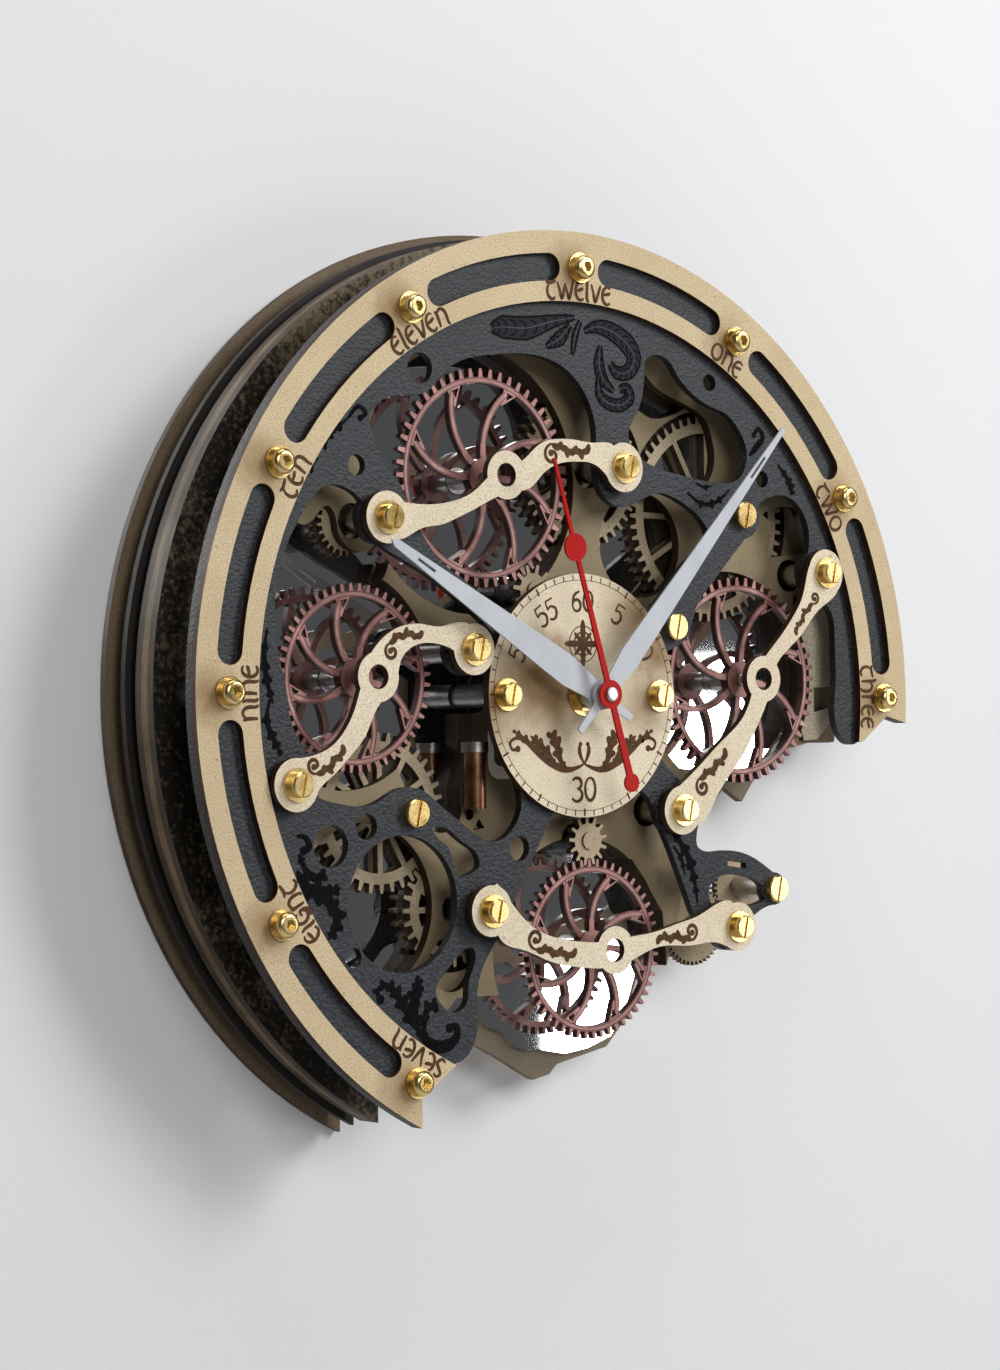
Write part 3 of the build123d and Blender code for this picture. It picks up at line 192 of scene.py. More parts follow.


# Cut board: speckled faces, burnt streaky edges, and on request sponged paint or smoke stains mixed with
# painted screw shadows
def board(name, face, dark_face, edge, dark_edge, speckle=0.5, sponge=0.0, smoke_and_shadow_places=()):
    s = Shader(name)
    fine = s.noise(1500.0, 6.0, 0.7)
    tone = s.ramp(fine, ((0.36, dark_face), (0.36 + 0.3 * speckle, face), (0.8, lighter(face, 1.12))))
    cloud = s.noise(26.0, 5.0, 0.6)
    tone = s.mix(s.ramp(cloud, ((0.35, (0, 0, 0)), (0.75, (0.35, 0.35, 0.35)))), tone, dark_face)
    flecks = s.ramp(s.noise(420.0, 3.0, 0.6), ((0.27, (1, 1, 1)), (0.33, (0, 0, 0))))
    tone = s.mix(s.math("MULTIPLY", flecks, 0.55), tone, (0.12, 0.07, 0.03))
    if sponge:
        dab = s.math("ADD", s.noise(420.0, 9.0, 0.8), s.math("MULTIPLY", s.noise(17.0, 2.0), 0.6))
        dab = s.ramp(dab, ((0.80, (1, 1, 1)), (0.92, (0, 0, 0))))
        tone = s.mix(s.math("MULTIPLY", dab, sponge), tone, (0.008, 0.007, 0.006))
    if smoke_and_shadow_places:
        tone = smoke_and_painted_shadow(s, tone, smoke_and_shadow_places, RING_FACE)
    streaks = s.noise(240.0, 5.0, 0.65, stretch=(0.25, 8.0, 0.25))
    side = s.ramp(streaks, ((0.35, dark_edge), (0.62, edge), (0.8, lighter(edge, 1.3))))
    scorch = s.ramp(s.noise(60.0, 4.0), ((0.42, (0, 0, 0)), (0.66, (0.75, 0.75, 0.75))))
    side = s.mix(scorch, side, dark_edge)
    colour = s.mix(s.facing(), side, tone)
    s.bump(fine, 0.25, 0.0001)
    return s.finish(colour, grey(s, cloud, 0.5, 0.68), specular=0.22)


# Smoke stains and painted screw shadows, set to the left of each screw: place and reach
ring_smoke_and_shadow = []
for hour in hour_names:
    screw_x, screw_z = away((0, 0), RING_SCREW_RADIUS, 90 - 30 * hour)
    ring_smoke_and_shadow.append((screw_x - 7.0, screw_z - 1.5, 16.0))
dial_smoke_and_shadow = [(-47.0, -3.0, 24.0), (32.0, -4.0, 18.0), (-14.0, -1.0, 24.0), (-24.0, 10.0, 22.0),
               (-12.0, 12.0, 16.0), (31.0, 31.0, 24.0), (40.0, 16.0, 18.0)]

tan_face = (0.66, 0.535, 0.345)
tan_dark = (0.38, 0.27, 0.14)
cream_face = (0.79, 0.70, 0.53)
cream_dark = (0.50, 0.40, 0.26)
burnt = (0.085, 0.040, 0.016)
burnt_dark = (0.018, 0.009, 0.005)
ring_board = board("ring_board", tan_face, tan_dark, burnt, burnt_dark, 0.6, smoke_and_shadow_places=ring_smoke_and_shadow)
dial_board = board("dial_board", cream_face, cream_dark, burnt, burnt_dark, 0.6, smoke_and_shadow_places=dial_smoke_and_shadow)
bridge_board = board("bridge_board", cream_face, cream_dark, burnt, burnt_dark, 0.6)
# Inner boards: the tan board painted several times darker than the ring's, as painted shade inside the clock
shaded_inner_board = board("shaded_inner_board", (0.31, 0.24, 0.145), (0.17, 0.125, 0.07),
                    (0.07, 0.034, 0.014), burnt_dark, 0.4)
base_wood = board("base_wood", (0.20, 0.165, 0.115), (0.12, 0.095, 0.065),
                  (0.26, 0.185, 0.105), (0.09, 0.055, 0.028))
rim_wood = board("rim_wood", (0.20, 0.15, 0.09), (0.10, 0.07, 0.04),
                 (0.10, 0.066, 0.038), (0.022, 0.014, 0.009), sponge=0.97)
wall_wood = board("wall_wood", (0.17, 0.125, 0.075), (0.09, 0.06, 0.034), (0.07, 0.04, 0.021), burnt_dark)
gear_wood = board("gear_wood", (0.46, 0.37, 0.245), (0.25, 0.18, 0.105),
                  (0.11, 0.058, 0.026), burnt_dark, 0.4)
dark_wood = board("dark_wood", (0.022, 0.02, 0.018), (0.010, 0.009, 0.008),
                  (0.045, 0.03, 0.018), (0.01, 0.008, 0.006))


# Leathery dark paint of the front plate
def slate():
    s = Shader("slate_plate")
    grain = s.noise(760.0, 2.0, 0.45, stretch=(0.8, 1.0, 1.15))
    fine = s.noise(2100.0, 2.0, 0.5)
    tone = s.ramp(grain, ((0.34, (0.010, 0.011, 0.014)), (0.52, (0.021, 0.023, 0.028)),
                          (0.70, (0.046, 0.050, 0.060))))
    cloud = s.noise(14.0, 4.0, 0.6)
    tone = s.mix(s.ramp(cloud, ((0.3, (0, 0, 0)), (0.8, (0.5, 0.5, 0.5)))), tone, (0.014, 0.015, 0.018))
    side = s.ramp(s.noise(150.0, 3.0), ((0.35, (0.006, 0.005, 0.005)), (0.75, (0.020, 0.017, 0.015))))
    colour = s.mix(s.facing(), side, tone)
    height = s.math("ADD", grain, s.math("MULTIPLY", fine, 0.3))
    s.bump(height, 0.8, 0.0006)
    return s.finish(colour, grey(s, grain, 0.42, 0.60), specular=0.38)


# Worn rose colour of the four wheels
def rose():
    s = Shader("rose_metal")
    patch = s.noise(70.0, 5.0, 0.6)
    tone = s.ramp(patch, ((0.3, (0.17, 0.066, 0.057)), (0.55, (0.34, 0.162, 0.142)),
                          (0.8, (0.60, 0.37, 0.33))))
    specks = s.ramp(s.noise(700.0, 4.0), ((0.30, (1, 1, 1)), (0.38, (0, 0, 0))))
    tone = s.mix(s.math("MULTIPLY", specks, 0.45), tone, (0.10, 0.03, 0.025))
    side = s.ramp(s.noise(180.0, 4.0), ((0.35, (0.030, 0.008, 0.007)), (0.75, (0.115, 0.036, 0.030))))
    colour = s.mix(s.facing(), side, tone)
    s.bump(s.noise(900.0, 3.0), 0.12, 0.0001)
    return s.finish(colour, grey(s, patch, 0.30, 0.46), 0.3)


# Even finish with fine patches of lighter and rougher surface, for metal, paint and burnt lines
def patchy(name, low, high, rough_low, rough_high, scale=300.0, metallic=1.0, specular=0.5):
    s = Shader(name)
    patch = s.noise(scale, 4.0, 0.6)
    tone = s.ramp(patch, ((0.3, low), (0.7, high)))
    s.bump(patch, 0.05, 0.0001)
    return s.finish(tone, grey(s, patch, rough_low, rough_high), metallic, specular)


brass = patchy("brass", (0.56, 0.39, 0.13), (0.82, 0.64, 0.31), 0.20, 0.33, 90.0)
steel = patchy("steel", (0.38, 0.37, 0.36), (0.56, 0.55, 0.54), 0.24, 0.38, 120.0)
copper = patchy("brown_copper", (0.12, 0.055, 0.03), (0.34, 0.17, 0.095), 0.25, 0.42, 120.0)
motor_metal = patchy("motor_metal", (0.12, 0.12, 0.12), (0.24, 0.235, 0.23), 0.3, 0.45)
mirror = patchy("mirror_glass", (0.80, 0.81, 0.81), (0.86, 0.87, 0.87), 0.015, 0.03, 8.0)
hand_white = patchy("hand_white", (0.455, 0.475, 0.51), (0.535, 0.555, 0.59), 0.42, 0.52, 60.0, 0.0, 0.2)
hand_red = patchy("hand_red", (0.36, 0.004, 0.002), (0.44, 0.007, 0.004), 0.30, 0.38, 120.0, 0.0, 0.10)
plastic = patchy("black_plastic", (0.012, 0.012, 0.013), (0.03, 0.03, 0.032), 0.45, 0.6, metallic=0.0)
cell_wrap = patchy("battery_wrap", (0.20, 0.20, 0.22), (0.30, 0.30, 0.33), 0.25, 0.35, metallic=0.3)
slate_plate = slate()
rose_metal = rose()
scorched = patchy("scorched_line", (0.040, 0.017, 0.007), (0.115, 0.052, 0.020), 0.6, 0.8, 420.0, 0.0, 0.2)
carved = patchy("carved_line", (0.003, 0.003, 0.004), (0.009, 0.009, 0.011), 0.7, 0.85, 420.0, 0.0, 0.03)
carved_ground = patchy("carved_ground", (0.007, 0.008, 0.010), (0.018, 0.020, 0.024),
                      0.6, 0.75, 620.0, 0.0, 0.16)
carved_vein = patchy("carved_vein", (0.022, 0.024, 0.029), (0.050, 0.054, 0.062), 0.45, 0.6, 620.0, 0.0, 0.35)
wheel_line_and_edge_shade = patchy("wheel_line_and_edge_shade", (0.035, 0.009, 0.008), (0.085, 0.026, 0.022), 0.4, 0.55, metallic=0.0)

finishes = {
    "wall_ring": wall_wood, "shadow_ring": dark_wood, "rear_spacers": dark_wood, "rim_rear": rim_wood,
    "base_board": base_wood, "rim_front": rim_wood, "mirror_plate": mirror, "mid_rear": shaded_inner_board,
    "mid_front": shaded_inner_board, "front_plate": slate_plate, "backing_board": bridge_board,
    "hour_ring": ring_board, "dial": dial_board, "movement": plastic, "battery": cell_wrap,
    "hour_hand": hand_white, "minute_hand": hand_white, "second_hand": hand_red, "side_motor": copper,
    "gear_motors": motor_metal,
}
bridge_boards = ("bridge_upper", "bridge_left", "bridge_right", "bridge_bottom")
steel_nodes = ("wheel_axles", "second_cap", "side_collar")
for node_name, node in nodes.items():
    finish = finishes.get(node_name)
    if finish is None:
        if node_name.startswith("wheel_") and node_name != "wheel_axles":
            finish = rose_metal
        elif node_name.startswith(bridge_boards):
            finish = bridge_board
        elif node_name.startswith(("gear_upper", "gear_left", "gear_lower", "gear_hook", "pinion")):
            finish = gear_wood
        elif "sleeves" in node_name or "posts" in node_name or node_name in steel_nodes:
            finish = steel
        else:
            finish = brass
    node.data.materials.clear()
    node.data.materials.append(finish)


# Smooth curve through points, for the flat ribbons of engraved lines, lettering and painted edge shade
def smooth_path(points, steps=8):
    if len(points) < 3:
        return list(points)
    padded = [points[0]] + list(points) + [points[-1]]
    out = []
    for i in range(1, len(padded) - 2):
        p0, p1, p2, p3 = padded[i - 1:i + 3]
        for k in range(steps):
            t = k / steps
            out.append(tuple(0.5 * (2 * p1[a] + (p2[a] - p0[a]) * t
                                    + (2 * p0[a] - 5 * p1[a] + 4 * p2[a] - p3[a]) * t * t
                                    + (3 * p1[a] - p0[a] - 3 * p2[a] + p3[a]) * t ** 3) for a in (0, 1)))
    out.append(tuple(points[-1]))
    return out


def width_at(widths, share):
    place = min(max(share, 0), 1) * (len(widths) - 1)
    low = min(int(place), len(widths) - 2)
    return widths[low] + (widths[low + 1] - widths[low]) * (place - low)


# Unit direction of a path at one of its points
def heading(path, i):
    before, after = path[max(0, i - 1)], path[min(len(path) - 1, i + 1)]
    dx, dz = after[0] - before[0], after[1] - before[1]
    size = math.hypot(dx, dz) or 1
    return dx / size, dz / size


# Place beside a path: at a share of its length, so far forward and so far to its left
def aside(path, share, forward, across):
    i = min(int(share * (len(path) - 1)), len(path) - 1)
    dx, dz = heading(path, i)
    return (path[i][0] + forward * dx - across * dz, path[i][1] + forward * dz + across * dx)


class FlatRibbons:
    def __init__(self, name, depth, material, body, slot, lift=0.05):
        self.name = name
        self.depth = depth
        self.material = material
        self.body = body
        self.slot = slot
        self.lift = lift
        self.layers = 0
        self.vertices = []
        self.faces = []

    # Each stroke lies a little higher than the last, so that crossings stay clean
    def top(self):
        self.layers += 1
        return self.depth + self.lift + LAYER_STEP * (self.layers % LAYERS)

    def stroke(self, points, widths, steps=8):
        path = smooth_path(points, steps)
        top = self.top()
        first = len(self.vertices)
        for i, (x, z) in enumerate(path):
            dx, dz = heading(path, i)
            half = max(0.5 * width_at(widths, i / (len(path) - 1)), 0.02)
            self.vertices.append(point(x - dz * half, z + dx * half, top))
            self.vertices.append(point(x + dz * half, z - dx * half, top))
        for i in range(len(path) - 1):
            a = first + 2 * i
            self.faces.append((a, a + 1, a + 3, a + 2))

    def leaf(self, base, tip, bend, width):
        mx, mz = (base[0] + tip[0]) / 2, (base[1] + tip[1]) / 2
        dx, dz = tip[0] - base[0], tip[1] - base[1]
        middle = (mx - dz * bend, mz + dx * bend)
        self.stroke([base, middle, tip], (0.4 * width, 0.9 * width, width, 0.9 * width, 0.35 * width), 6)

    def acanthus(self, spine, widths, lobes, ball=0.0):
        self.stroke(spine, [(0.5 if lobes else 1.0) * width for width in widths], 10)
        path = smooth_path(spine, 10)
        for k in range(lobes):
            share = (k + 0.3) / (lobes + 0.6)
            half = 0.5 * width_at(widths, share)
            for side in (-1, 1):
                self.leaf(aside(path, share, -0.5 * half, 0.05 * side * half),
                          aside(path, share, 1.35 * half, 1.05 * side * half), -0.24 * side, 1.2 * half)
        if ball:
            self.disc(spine[-1], ball)

    def outline(self, spine, widths, line):
        path = smooth_path(spine, 8)
        for side in (-1, 1):
            edge = [aside(path, i / (len(path) - 1), 0, 0.5 * side * width_at(widths, i / (len(path) - 1)))
                    for i in range(len(path))]
            self.stroke(edge, (line, line), 1)

    def scroll(self, centre, radius, leave, turn, vine, width):
        points = []
        for i in range(CURL_POINTS + 1):
            share = i / CURL_POINTS
            reach = radius * (CURL_INNER + (1 - CURL_INNER) * share)
            points.append(away(centre, reach, leave - turn * CURL_TURN * (1 - share)))
        self.stroke(points + vine, [share * width for share in (0.8, 1.0, 1.1, 1.1, 0.9, 0.3)], 2)
        self.disc(points[0], 0.9 * width)
        path = smooth_path([points[-1]] + vine, 10)
        for share, side, reach in ((0.04, 1, 1.9), (0.25, -1, 2.1), (0.42, 1, 2.2), (0.62, -1, 2.0),
                                   (0.80, 1, 1.8)):
            tip = aside(path, share, 1.55 * reach * width, 0.85 * side * reach * width)
            self.leaf(aside(path, share, -0.2 * width, 0), tip, -0.30 * side, 1.95 * width)

    def disc(self, centre, radius, inner=0.0, sides=20):
        top = self.top()
        first = len(self.vertices)
        for i in range(sides):
            angle = 360 * i / sides
            for reach in (inner, radius):
                self.vertices.append(point(*away(centre, reach, angle), top))
        for i in range(sides):
            j = (i + 1) % sides
            self.faces.append((first + 2 * i, first + 2 * i + 1, first + 2 * j + 1, first + 2 * j))

    def build(self):
        mesh = bpy.data.meshes.new(self.name)
        mesh.from_pydata(self.vertices, [], self.faces)
        mesh.validate()
        obj = bpy.data.objects.new(self.name, mesh)
        bpy.context.scene.collection.objects.link(obj)
        thick = obj.modifiers.new("thick", "SOLIDIFY")
        thick.thickness = RIBBON_THICKNESS * MM
        thick.offset = 0
        mesh.materials.append(self.material)
        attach(obj, self.body)
        return obj


# Points along part of an ellipse, between two angles in degrees
def bow(cx, cy, rx, ry, start, end, count):
    return [(cx + rx * math.cos(math.radians(start + (end - start) * i / (count - 1))),
             cy + ry * math.sin(math.radians(start + (end - start) * i / (count - 1)))) for i in range(count)]


# Letters as strokes in a cell one unit high, with their widths
letters = {
    "o": (0.78, [bow(0.36, 0.38, 0.32, 0.36, 90, 450, 13)]),
    "n": (0.80, [[(0.08, 0.72), (0.14, 0.5), (0.12, 0.02)], bow(0.38, 0.38, 0.26, 0.34, 165, 0, 7)
                 + [(0.63, 0.2), (0.65, 0.04), (0.72, -0.03)]]),
    "e": (0.62, [bow(0.34, 0.38, 0.30, 0.37, 60, 310, 10), [(0.06, 0.40), (0.3, 0.44), (0.52, 0.52)]]),
    "t": (0.66, [bow(0.34, 0.34, 0.28, 0.34, 120, 310, 9), [(0.02, 0.74), (0.25, 0.68), (0.62, 0.76)]]),
    "w": (1.10, [[(0.04, 0.72), (0.16, 0.4), (0.26, 0.02), (0.42, 0.35), (0.52, 0.66)],
                 [(0.50, 0.66), (0.62, 0.3), (0.72, 0.02), (0.88, 0.4), (1.0, 0.78)]]),
    "h": (0.78, [[(0.06, 0.97), (0.13, 0.78), (0.12, 0.02)], bow(0.38, 0.36, 0.26, 0.33, 165, 0, 7)
                 + [(0.62, 0.18), (0.58, 0.02), (0.47, -0.03)]]),
    "r": (0.56, [[(0.06, 0.72), (0.13, 0.5), (0.12, 0.0)], [(0.14, 0.52), (0.28, 0.70), (0.48, 0.68)]]),
    "s": (0.58, [[(0.46, 0.66), (0.26, 0.74), (0.10, 0.58), (0.28, 0.40), (0.46, 0.22), (0.28, 0.0),
                  (0.04, 0.06)]]),
    "v": (0.70, [[(0.04, 0.74), (0.18, 0.4), (0.30, 0.02), (0.48, 0.4), (0.60, 0.76)]]),
    "l": (0.34, [[(0.06, 0.99), (0.13, 0.82), (0.12, 0.1), (0.26, 0.0)]]),
    "i": (0.30, [[(0.06, 0.72), (0.12, 0.5), (0.11, 0.08), (0.22, 0.0)]]),
    "g": (0.72, [bow(0.34, 0.40, 0.28, 0.32, 30, 330, 10),
                 [(0.36, 0.36), (0.60, 0.38), (0.58, 0.10), (0.40, -0.04), (0.14, -0.03)]]),
    "0": (0.74, [bow(0.35, 0.5, 0.28, 0.48, 90, 450, 15)]),
    "1": (0.42, [[(0.06, 0.78), (0.22, 0.98), (0.22, 0.02)]]),
    "3": (0.70, [bow(0.30, 0.74, 0.26, 0.24, 150, -80, 8), bow(0.30, 0.26, 0.30, 0.27, 85, -150, 9)]),
    "5": (0.70, [[(0.58, 0.98), (0.16, 0.97)], [(0.16, 0.97), (0.12, 0.56)], [(0.12, 0.56), (0.36, 0.64),
                  (0.60, 0.42), (0.50, 0.08), (0.24, 0.0), (0.04, 0.12)]]),
    "6": (0.72, [[(0.56, 0.96), (0.24, 0.78), (0.08, 0.34)], bow(0.34, 0.28, 0.26, 0.28, 180, 540, 13)]),
}


def write_arc(engraving, text, radius, angle, height, weight, stretch=1.0):
    wide = height * stretch
    along = -sum(letters[c][0] for c in text) * wide / 2
    for letter in text:
        width, strokes = letters[letter]
        for stroke in strokes:
            placed = []
            for x, z in stroke:
                turn = math.radians(angle) - (along + x * wide) / (radius + 0.4 * height)
                reach = radius + z * height
                placed.append((reach * math.cos(turn), reach * math.sin(turn)))
            engraving.stroke(placed, (0.6 * weight, weight, 1.1 * weight, 0.7 * weight), 4)
        along += width * wide


words = FlatRibbons("hour_words", RING_FACE, scorched, "clock_frame", "board")
for hour, word in hour_names.items():
    angle = 90 - 30 * hour - (SEVEN_SHIFT if hour == 7 else 0)
    write_arc(words, word, WORD_RADIUS, angle, WORD_HEIGHT, 1.35, 0.9)
words.build()

# Dial: minute track, plain minute figures, compass rose and two scrolls
track = FlatRibbons("dial_track", RING_FACE, scorched, "clock_frame", "board")
circle = bow(0, 0, TRACK_RADIUS, TRACK_RADIUS, 0, 360, 91)
track.stroke(circle, (0.22, 0.22), 1)
for minute in range(60):
    inner, weight = (46.0, 0.45) if minute % 5 else (45.0, 0.8)
    track.stroke([away((0, 0), reach, 6 * minute) for reach in (inner, TRACK_END)], (weight, weight), 1)
track.build()
figures = FlatRibbons("dial_figures", RING_FACE, scorched, "clock_frame", "board")
for minute, text in ((50, "50"), (55, "55"), (60, "60"), (5, "5"), (10, "10")):
    write_arc(figures, text, FIGURE_RADIUS, 90 - 6 * minute, FIGURE_HEIGHT, 1.15)
along = BOTTOM_FIGURE_LEFT
for letter in "30":
    width, strokes = letters[letter]
    for stroke in strokes:
        placed = [(along + x * BOTTOM_FIGURE_HEIGHT, BOTTOM_FIGURE_BASE + z * BOTTOM_FIGURE_HEIGHT)
                  for x, z in stroke]
        figures.stroke(placed, (0.9, 1.5, 1.0), 4)
    along += width * BOTTOM_FIGURE_HEIGHT
rose_place = (0, ROSE_HEIGHT)
for ray in range(8):
    reach, wide = (9.5, 2.6) if ray % 2 == 0 else (6.2, 1.7)
    figures.leaf(rose_place, away(rose_place, reach, 90 + 45 * ray), 0.0, wide)
figures.disc(rose_place, 5.0, 4.3)
figures.disc(rose_place, 7.4, 7.0)


def mirrored(places, side):
    return [(side * x, z) for x, z in places]


for side in (-1, 1):
    vine = [(-1.9, -19.0), (-2.4, -22.5), (0, -27), (4.5, -28.9), (8.3, -29.5), (12.8, -28.7), (19.0, -26.0),
            (25.2, -21.9), (29.9, -18.4), (34.5, -16.9), (38.0, -18.6), (37.0, -21.4), (34.2, -21.2)]
    vine_widths = (1.0, 2.0, 0.8, 1.6, 2.4, 3.2, 3.0, 2.4, 1.9, 1.4, 1.2, 1.2, 1.4)
    figures.stroke(mirrored(vine, side), vine_widths, 6)
    figures.disc((side * 34.2, -21.2), 1.3)
    figures.disc((side * -1.9, -19.4), 0.9)
    for spine, widths, lobes, ball in (
        ([(9.5, -29.0), (12.5, -25.5), (13.8, -21.0), (15.6, -17.0), (18.4, -15.6)],
         (2.0, 5.0, 5.6, 4.4, 2.4), 4, 1.2),
        ([(15.0, -27.5), (19.0, -23.0), (23.5, -19.4), (27.6, -16.2)], (2.0, 5.4, 4.8, 1.6), 4, 0),
        ([(24.5, -22.0), (29.0, -18.4), (33.0, -16.0), (36.0, -14.3)], (1.6, 3.6, 3.0, 1.2), 3, 0.8),
    ):
        figures.acanthus(mirrored(spine, side), widths, lobes, ball)
figures.build()


# Scrolls with leaves burnt into the bridges: centre, radius, leaving angle, direction, vine, width
scrolls = FlatRibbons("bridge_scrolls", BRIDGE_FACE, scorched, "clock_frame", "board")
for centre, radius, leave, turn, vine, width in (
    ((-17.2, 94.8), 4.2, 90, -1, [(-11.0, 97.4), (-4.5, 96.6), (2.0, 97.8)], 1.5),
    ((-97.6, 15.8), 3.4, 110, -1, [(-95.0, 21.2), (-89.5, 22.4), (-83.0, 22.0)], 1.35),
    ((-134.2, -26.8), 3.3, 290, 1, [(-129.2, -28.6), (-124.8, -25.2), (-120.0, -20.6)], 1.35),
    ((127.4, 42.0), 2.7, 250, -1, [(122.8, 36.6), (119.0, 31.6), (115.6, 27.0)], 1.15),
    ((61.8, -37.2), 3.9, 120, -1, [(64.8, -31.4), (70.0, -28.0), (75.6, -22.8)], 1.5),
    ((-28.0, -95.4), 4.2, 270, 1, [(-21.5, -100.4), (-14.6, -102.0), (-8.4, -102.2)], 1.5),
    ((54.4, -95.8), 3.6, 270, -1, [(48.8, -98.2), (42.4, -97.8), (36.0, -98.2)], 1.45),
):
    scrolls.scroll(centre, radius, leave, turn, vine, width)
scrolls.build()

# Leaves carved into the front plate: spine, widths, number of lobes, radius of the ball at the tip
carving = FlatRibbons("plate_carving", PLATE_FACE, carved, "clock_frame", "slate")
for spine, widths, lobes, ball in (
    ([(-78, -132), (-85, -125), (-89.3, -118.7), (-92.8, -113.7), (-97.1, -110.3), (-101.4, -111.8),
      (-100.4, -115.5)], (2, 6, 6.4, 5, 4.2, 3.4, 2.8), 7, 1.9),
    ([(-82, -129), (-84.1, -121), (-84.1, -116.2), (-82.3, -111.4), (-82.4, -108.3)],
     (2, 6.5, 6.5, 4, 1), 5, 1.1),
    ([(-78.1, -132.5), (-79.8, -126.8), (-78.4, -121.3), (-75.3, -118.8), (-73.8, -120.7)],
     (2, 5, 5, 3.6, 2), 4, 1.4),
    ([(-83.4, -128.7), (-74.6, -134.6), (-68.4, -134.8), (-63.9, -131.9), (-64.1, -127.8), (-67.2, -128.2)],
     (2, 5, 5, 3.6, 2.8, 2.6), 0, 1.9),
    ([(-138.5, -53), (-134.6, -53.6), (-132.9, -57.0), (-135.4, -58.6)], (1, 2.2, 2.8, 3.0), 0, 1.7),
    ([(-137.5, -60), (-133.5, -67.2), (-128.8, -68.8), (-126.6, -66.4)], (2.5, 6, 5, 2.6), 4, 1.3),
    ([(-138.5, -66), (-134.7, -71.7), (-128.9, -74.6), (-122.6, -74.1), (-118.4, -72.6)],
     (3, 7.5, 7, 4.5, 1), 5, 0),
    ([(-133, -73), (-125.4, -77.6), (-121.2, -81.0), (-120.4, -85.1), (-121.9, -89.1), (-124.8, -92.0)],
     (3, 6.5, 6.5, 5.5, 4, 1), 5, 0),
    ([(-151, 24), (-152.6, 14), (-151.2, 4), (-148.6, -4)], (1, 4.6, 4.4, 1.2), 5, 0),
    ([(-150, -2), (-151.6, -10), (-148.6, -17), (-145.8, -22)], (1, 4.4, 4.2, 1.4), 4, 1.3),
    ([(-130.5, 82), (-128, 90), (-121, 98), (-113, 104)], (1, 4.2, 4.0, 1.2), 5, 0),
    ([(-124, 91), (-122, 97.5), (-117, 99.6)], (1, 3.0, 1.4), 3, 1.1),
    ([(-113, 104), (-108.6, 108.6), (-104.8, 106.4), (-107.4, 104.2)], (1.2, 1.8, 1.8, 1.6), 0, 1.3),
    ([(60, 84), (68, 79.6), (76, 80.6), (84, 86)], (1, 3.6, 3.6, 1), 4, 0),
    ([(65, 88), (69.5, 86.6), (74, 87.2)], (1, 2.4, 1), 2, 0),
    ([(95.6, 101), (99, 104), (103.5, 109), (101, 112.5), (98.4, 109.8)], (1, 3.0, 2.4, 2.0, 1.8), 0, 1.3),
    ([(112, 98), (116.4, 93.8), (119.6, 89.4), (120.6, 85.6)], (1, 4.0, 3.8, 1), 5, 0),
    ([(46, -52), (53, -58.6), (58.6, -66.4), (61.6, -76), (63.4, -86)], (1.2, 5.0, 5.6, 4.0, 1), 6, 0),
    ([(50, -61), (54.4, -66.6), (56.2, -73)], (1, 3.4, 1), 3, 0),
):
    carving.acanthus(spine, widths, lobes, ball)
carving.build()

# Large leaves at the plate's top: dark ground, ridged outline and light veins
ground = FlatRibbons("plate_relief", PLATE_FACE, carved_ground, "clock_frame", "slate", 0.04)
ridges = FlatRibbons("plate_ridges", PLATE_FACE, carved, "clock_frame", "slate", 0.10)
veins = FlatRibbons("plate_veins", PLATE_FACE, carved_vein, "clock_frame", "slate", 0.14)
for spine, widths in (
    ([(0, 151.2), (-12, 148.6), (-25, 145), (-37, 144.4), (-43, 143.4)], (1.4, 5, 9, 8.6, 3)),
    ([(-2.4, 148), (-8, 142.2), (-15, 138.4)], (1.4, 6, 1.2)),
    ([(3, 150), (0.2, 144), (-1.4, 136)], (1.2, 3, 1)),
    ([(5, 146), (12, 148.4), (20, 147), (28, 142.6), (31.6, 137), (28.6, 131.6), (22.4, 130.6), (18.6, 134)],
     (1.4, 5, 7, 8, 7, 6, 5, 2.4)),
    ([(13.5, 141), (12.6, 134), (14.6, 127.6), (20.4, 122.8)], (1.2, 5, 5, 1.6)),
    ([(12.2, 128), (12.8, 121.4), (17.2, 118), (24, 117.6), (28.8, 120.8), (27.4, 124.6), (23.6, 124)],
     (1.4, 4, 5, 5, 5, 4, 2.6)),
):
    ground.stroke(spine, widths, 10)
    ridges.outline(spine, widths, 0.75)
    veins.stroke(spine, (0.2, 0.45, 0.35, 0.1), 8)
    path = smooth_path(spine, 10)
    for k in range(1, 2 * len(spine)):
        share = k / (2 * len(spine))
        reach = 0.36 * width_at(widths, share)
        for side in (-1, 1):
            tip = aside(path, share, 1.1 * reach, side * reach)
            ridges.leaf(aside(path, share, 0, 0), tip, 0.2 * side, 0.6)
for part in (ground, ridges, veins):
    part.build()


# Points on the arc through three places, moved outwards by an offset
def arc_through(first, middle, last, offset, count=14):
    ax, az, bx, bz, cx, cz = *first, *middle, *last
    d = 2 * (ax * (bz - cz) + bx * (cz - az) + cx * (az - bz))
    a_square, b_square, c_square = ax ** 2 + az ** 2, bx ** 2 + bz ** 2, cx ** 2 + cz ** 2
    ux = (a_square * (bz - cz) + b_square * (cz - az) + c_square * (az - bz)) / d
    uz = (a_square * (cx - bx) + b_square * (ax - cx) + c_square * (bx - ax)) / d
    reach = math.hypot(ax - ux, az - uz) + offset
    start = math.atan2(az - uz, ax - ux)
    sweep = (math.atan2(cz - uz, cx - ux) - start + math.pi) % (2 * math.pi) - math.pi
    return [away((ux, uz), reach, math.degrees(start + sweep * i / count)) for i in range(count + 1)]
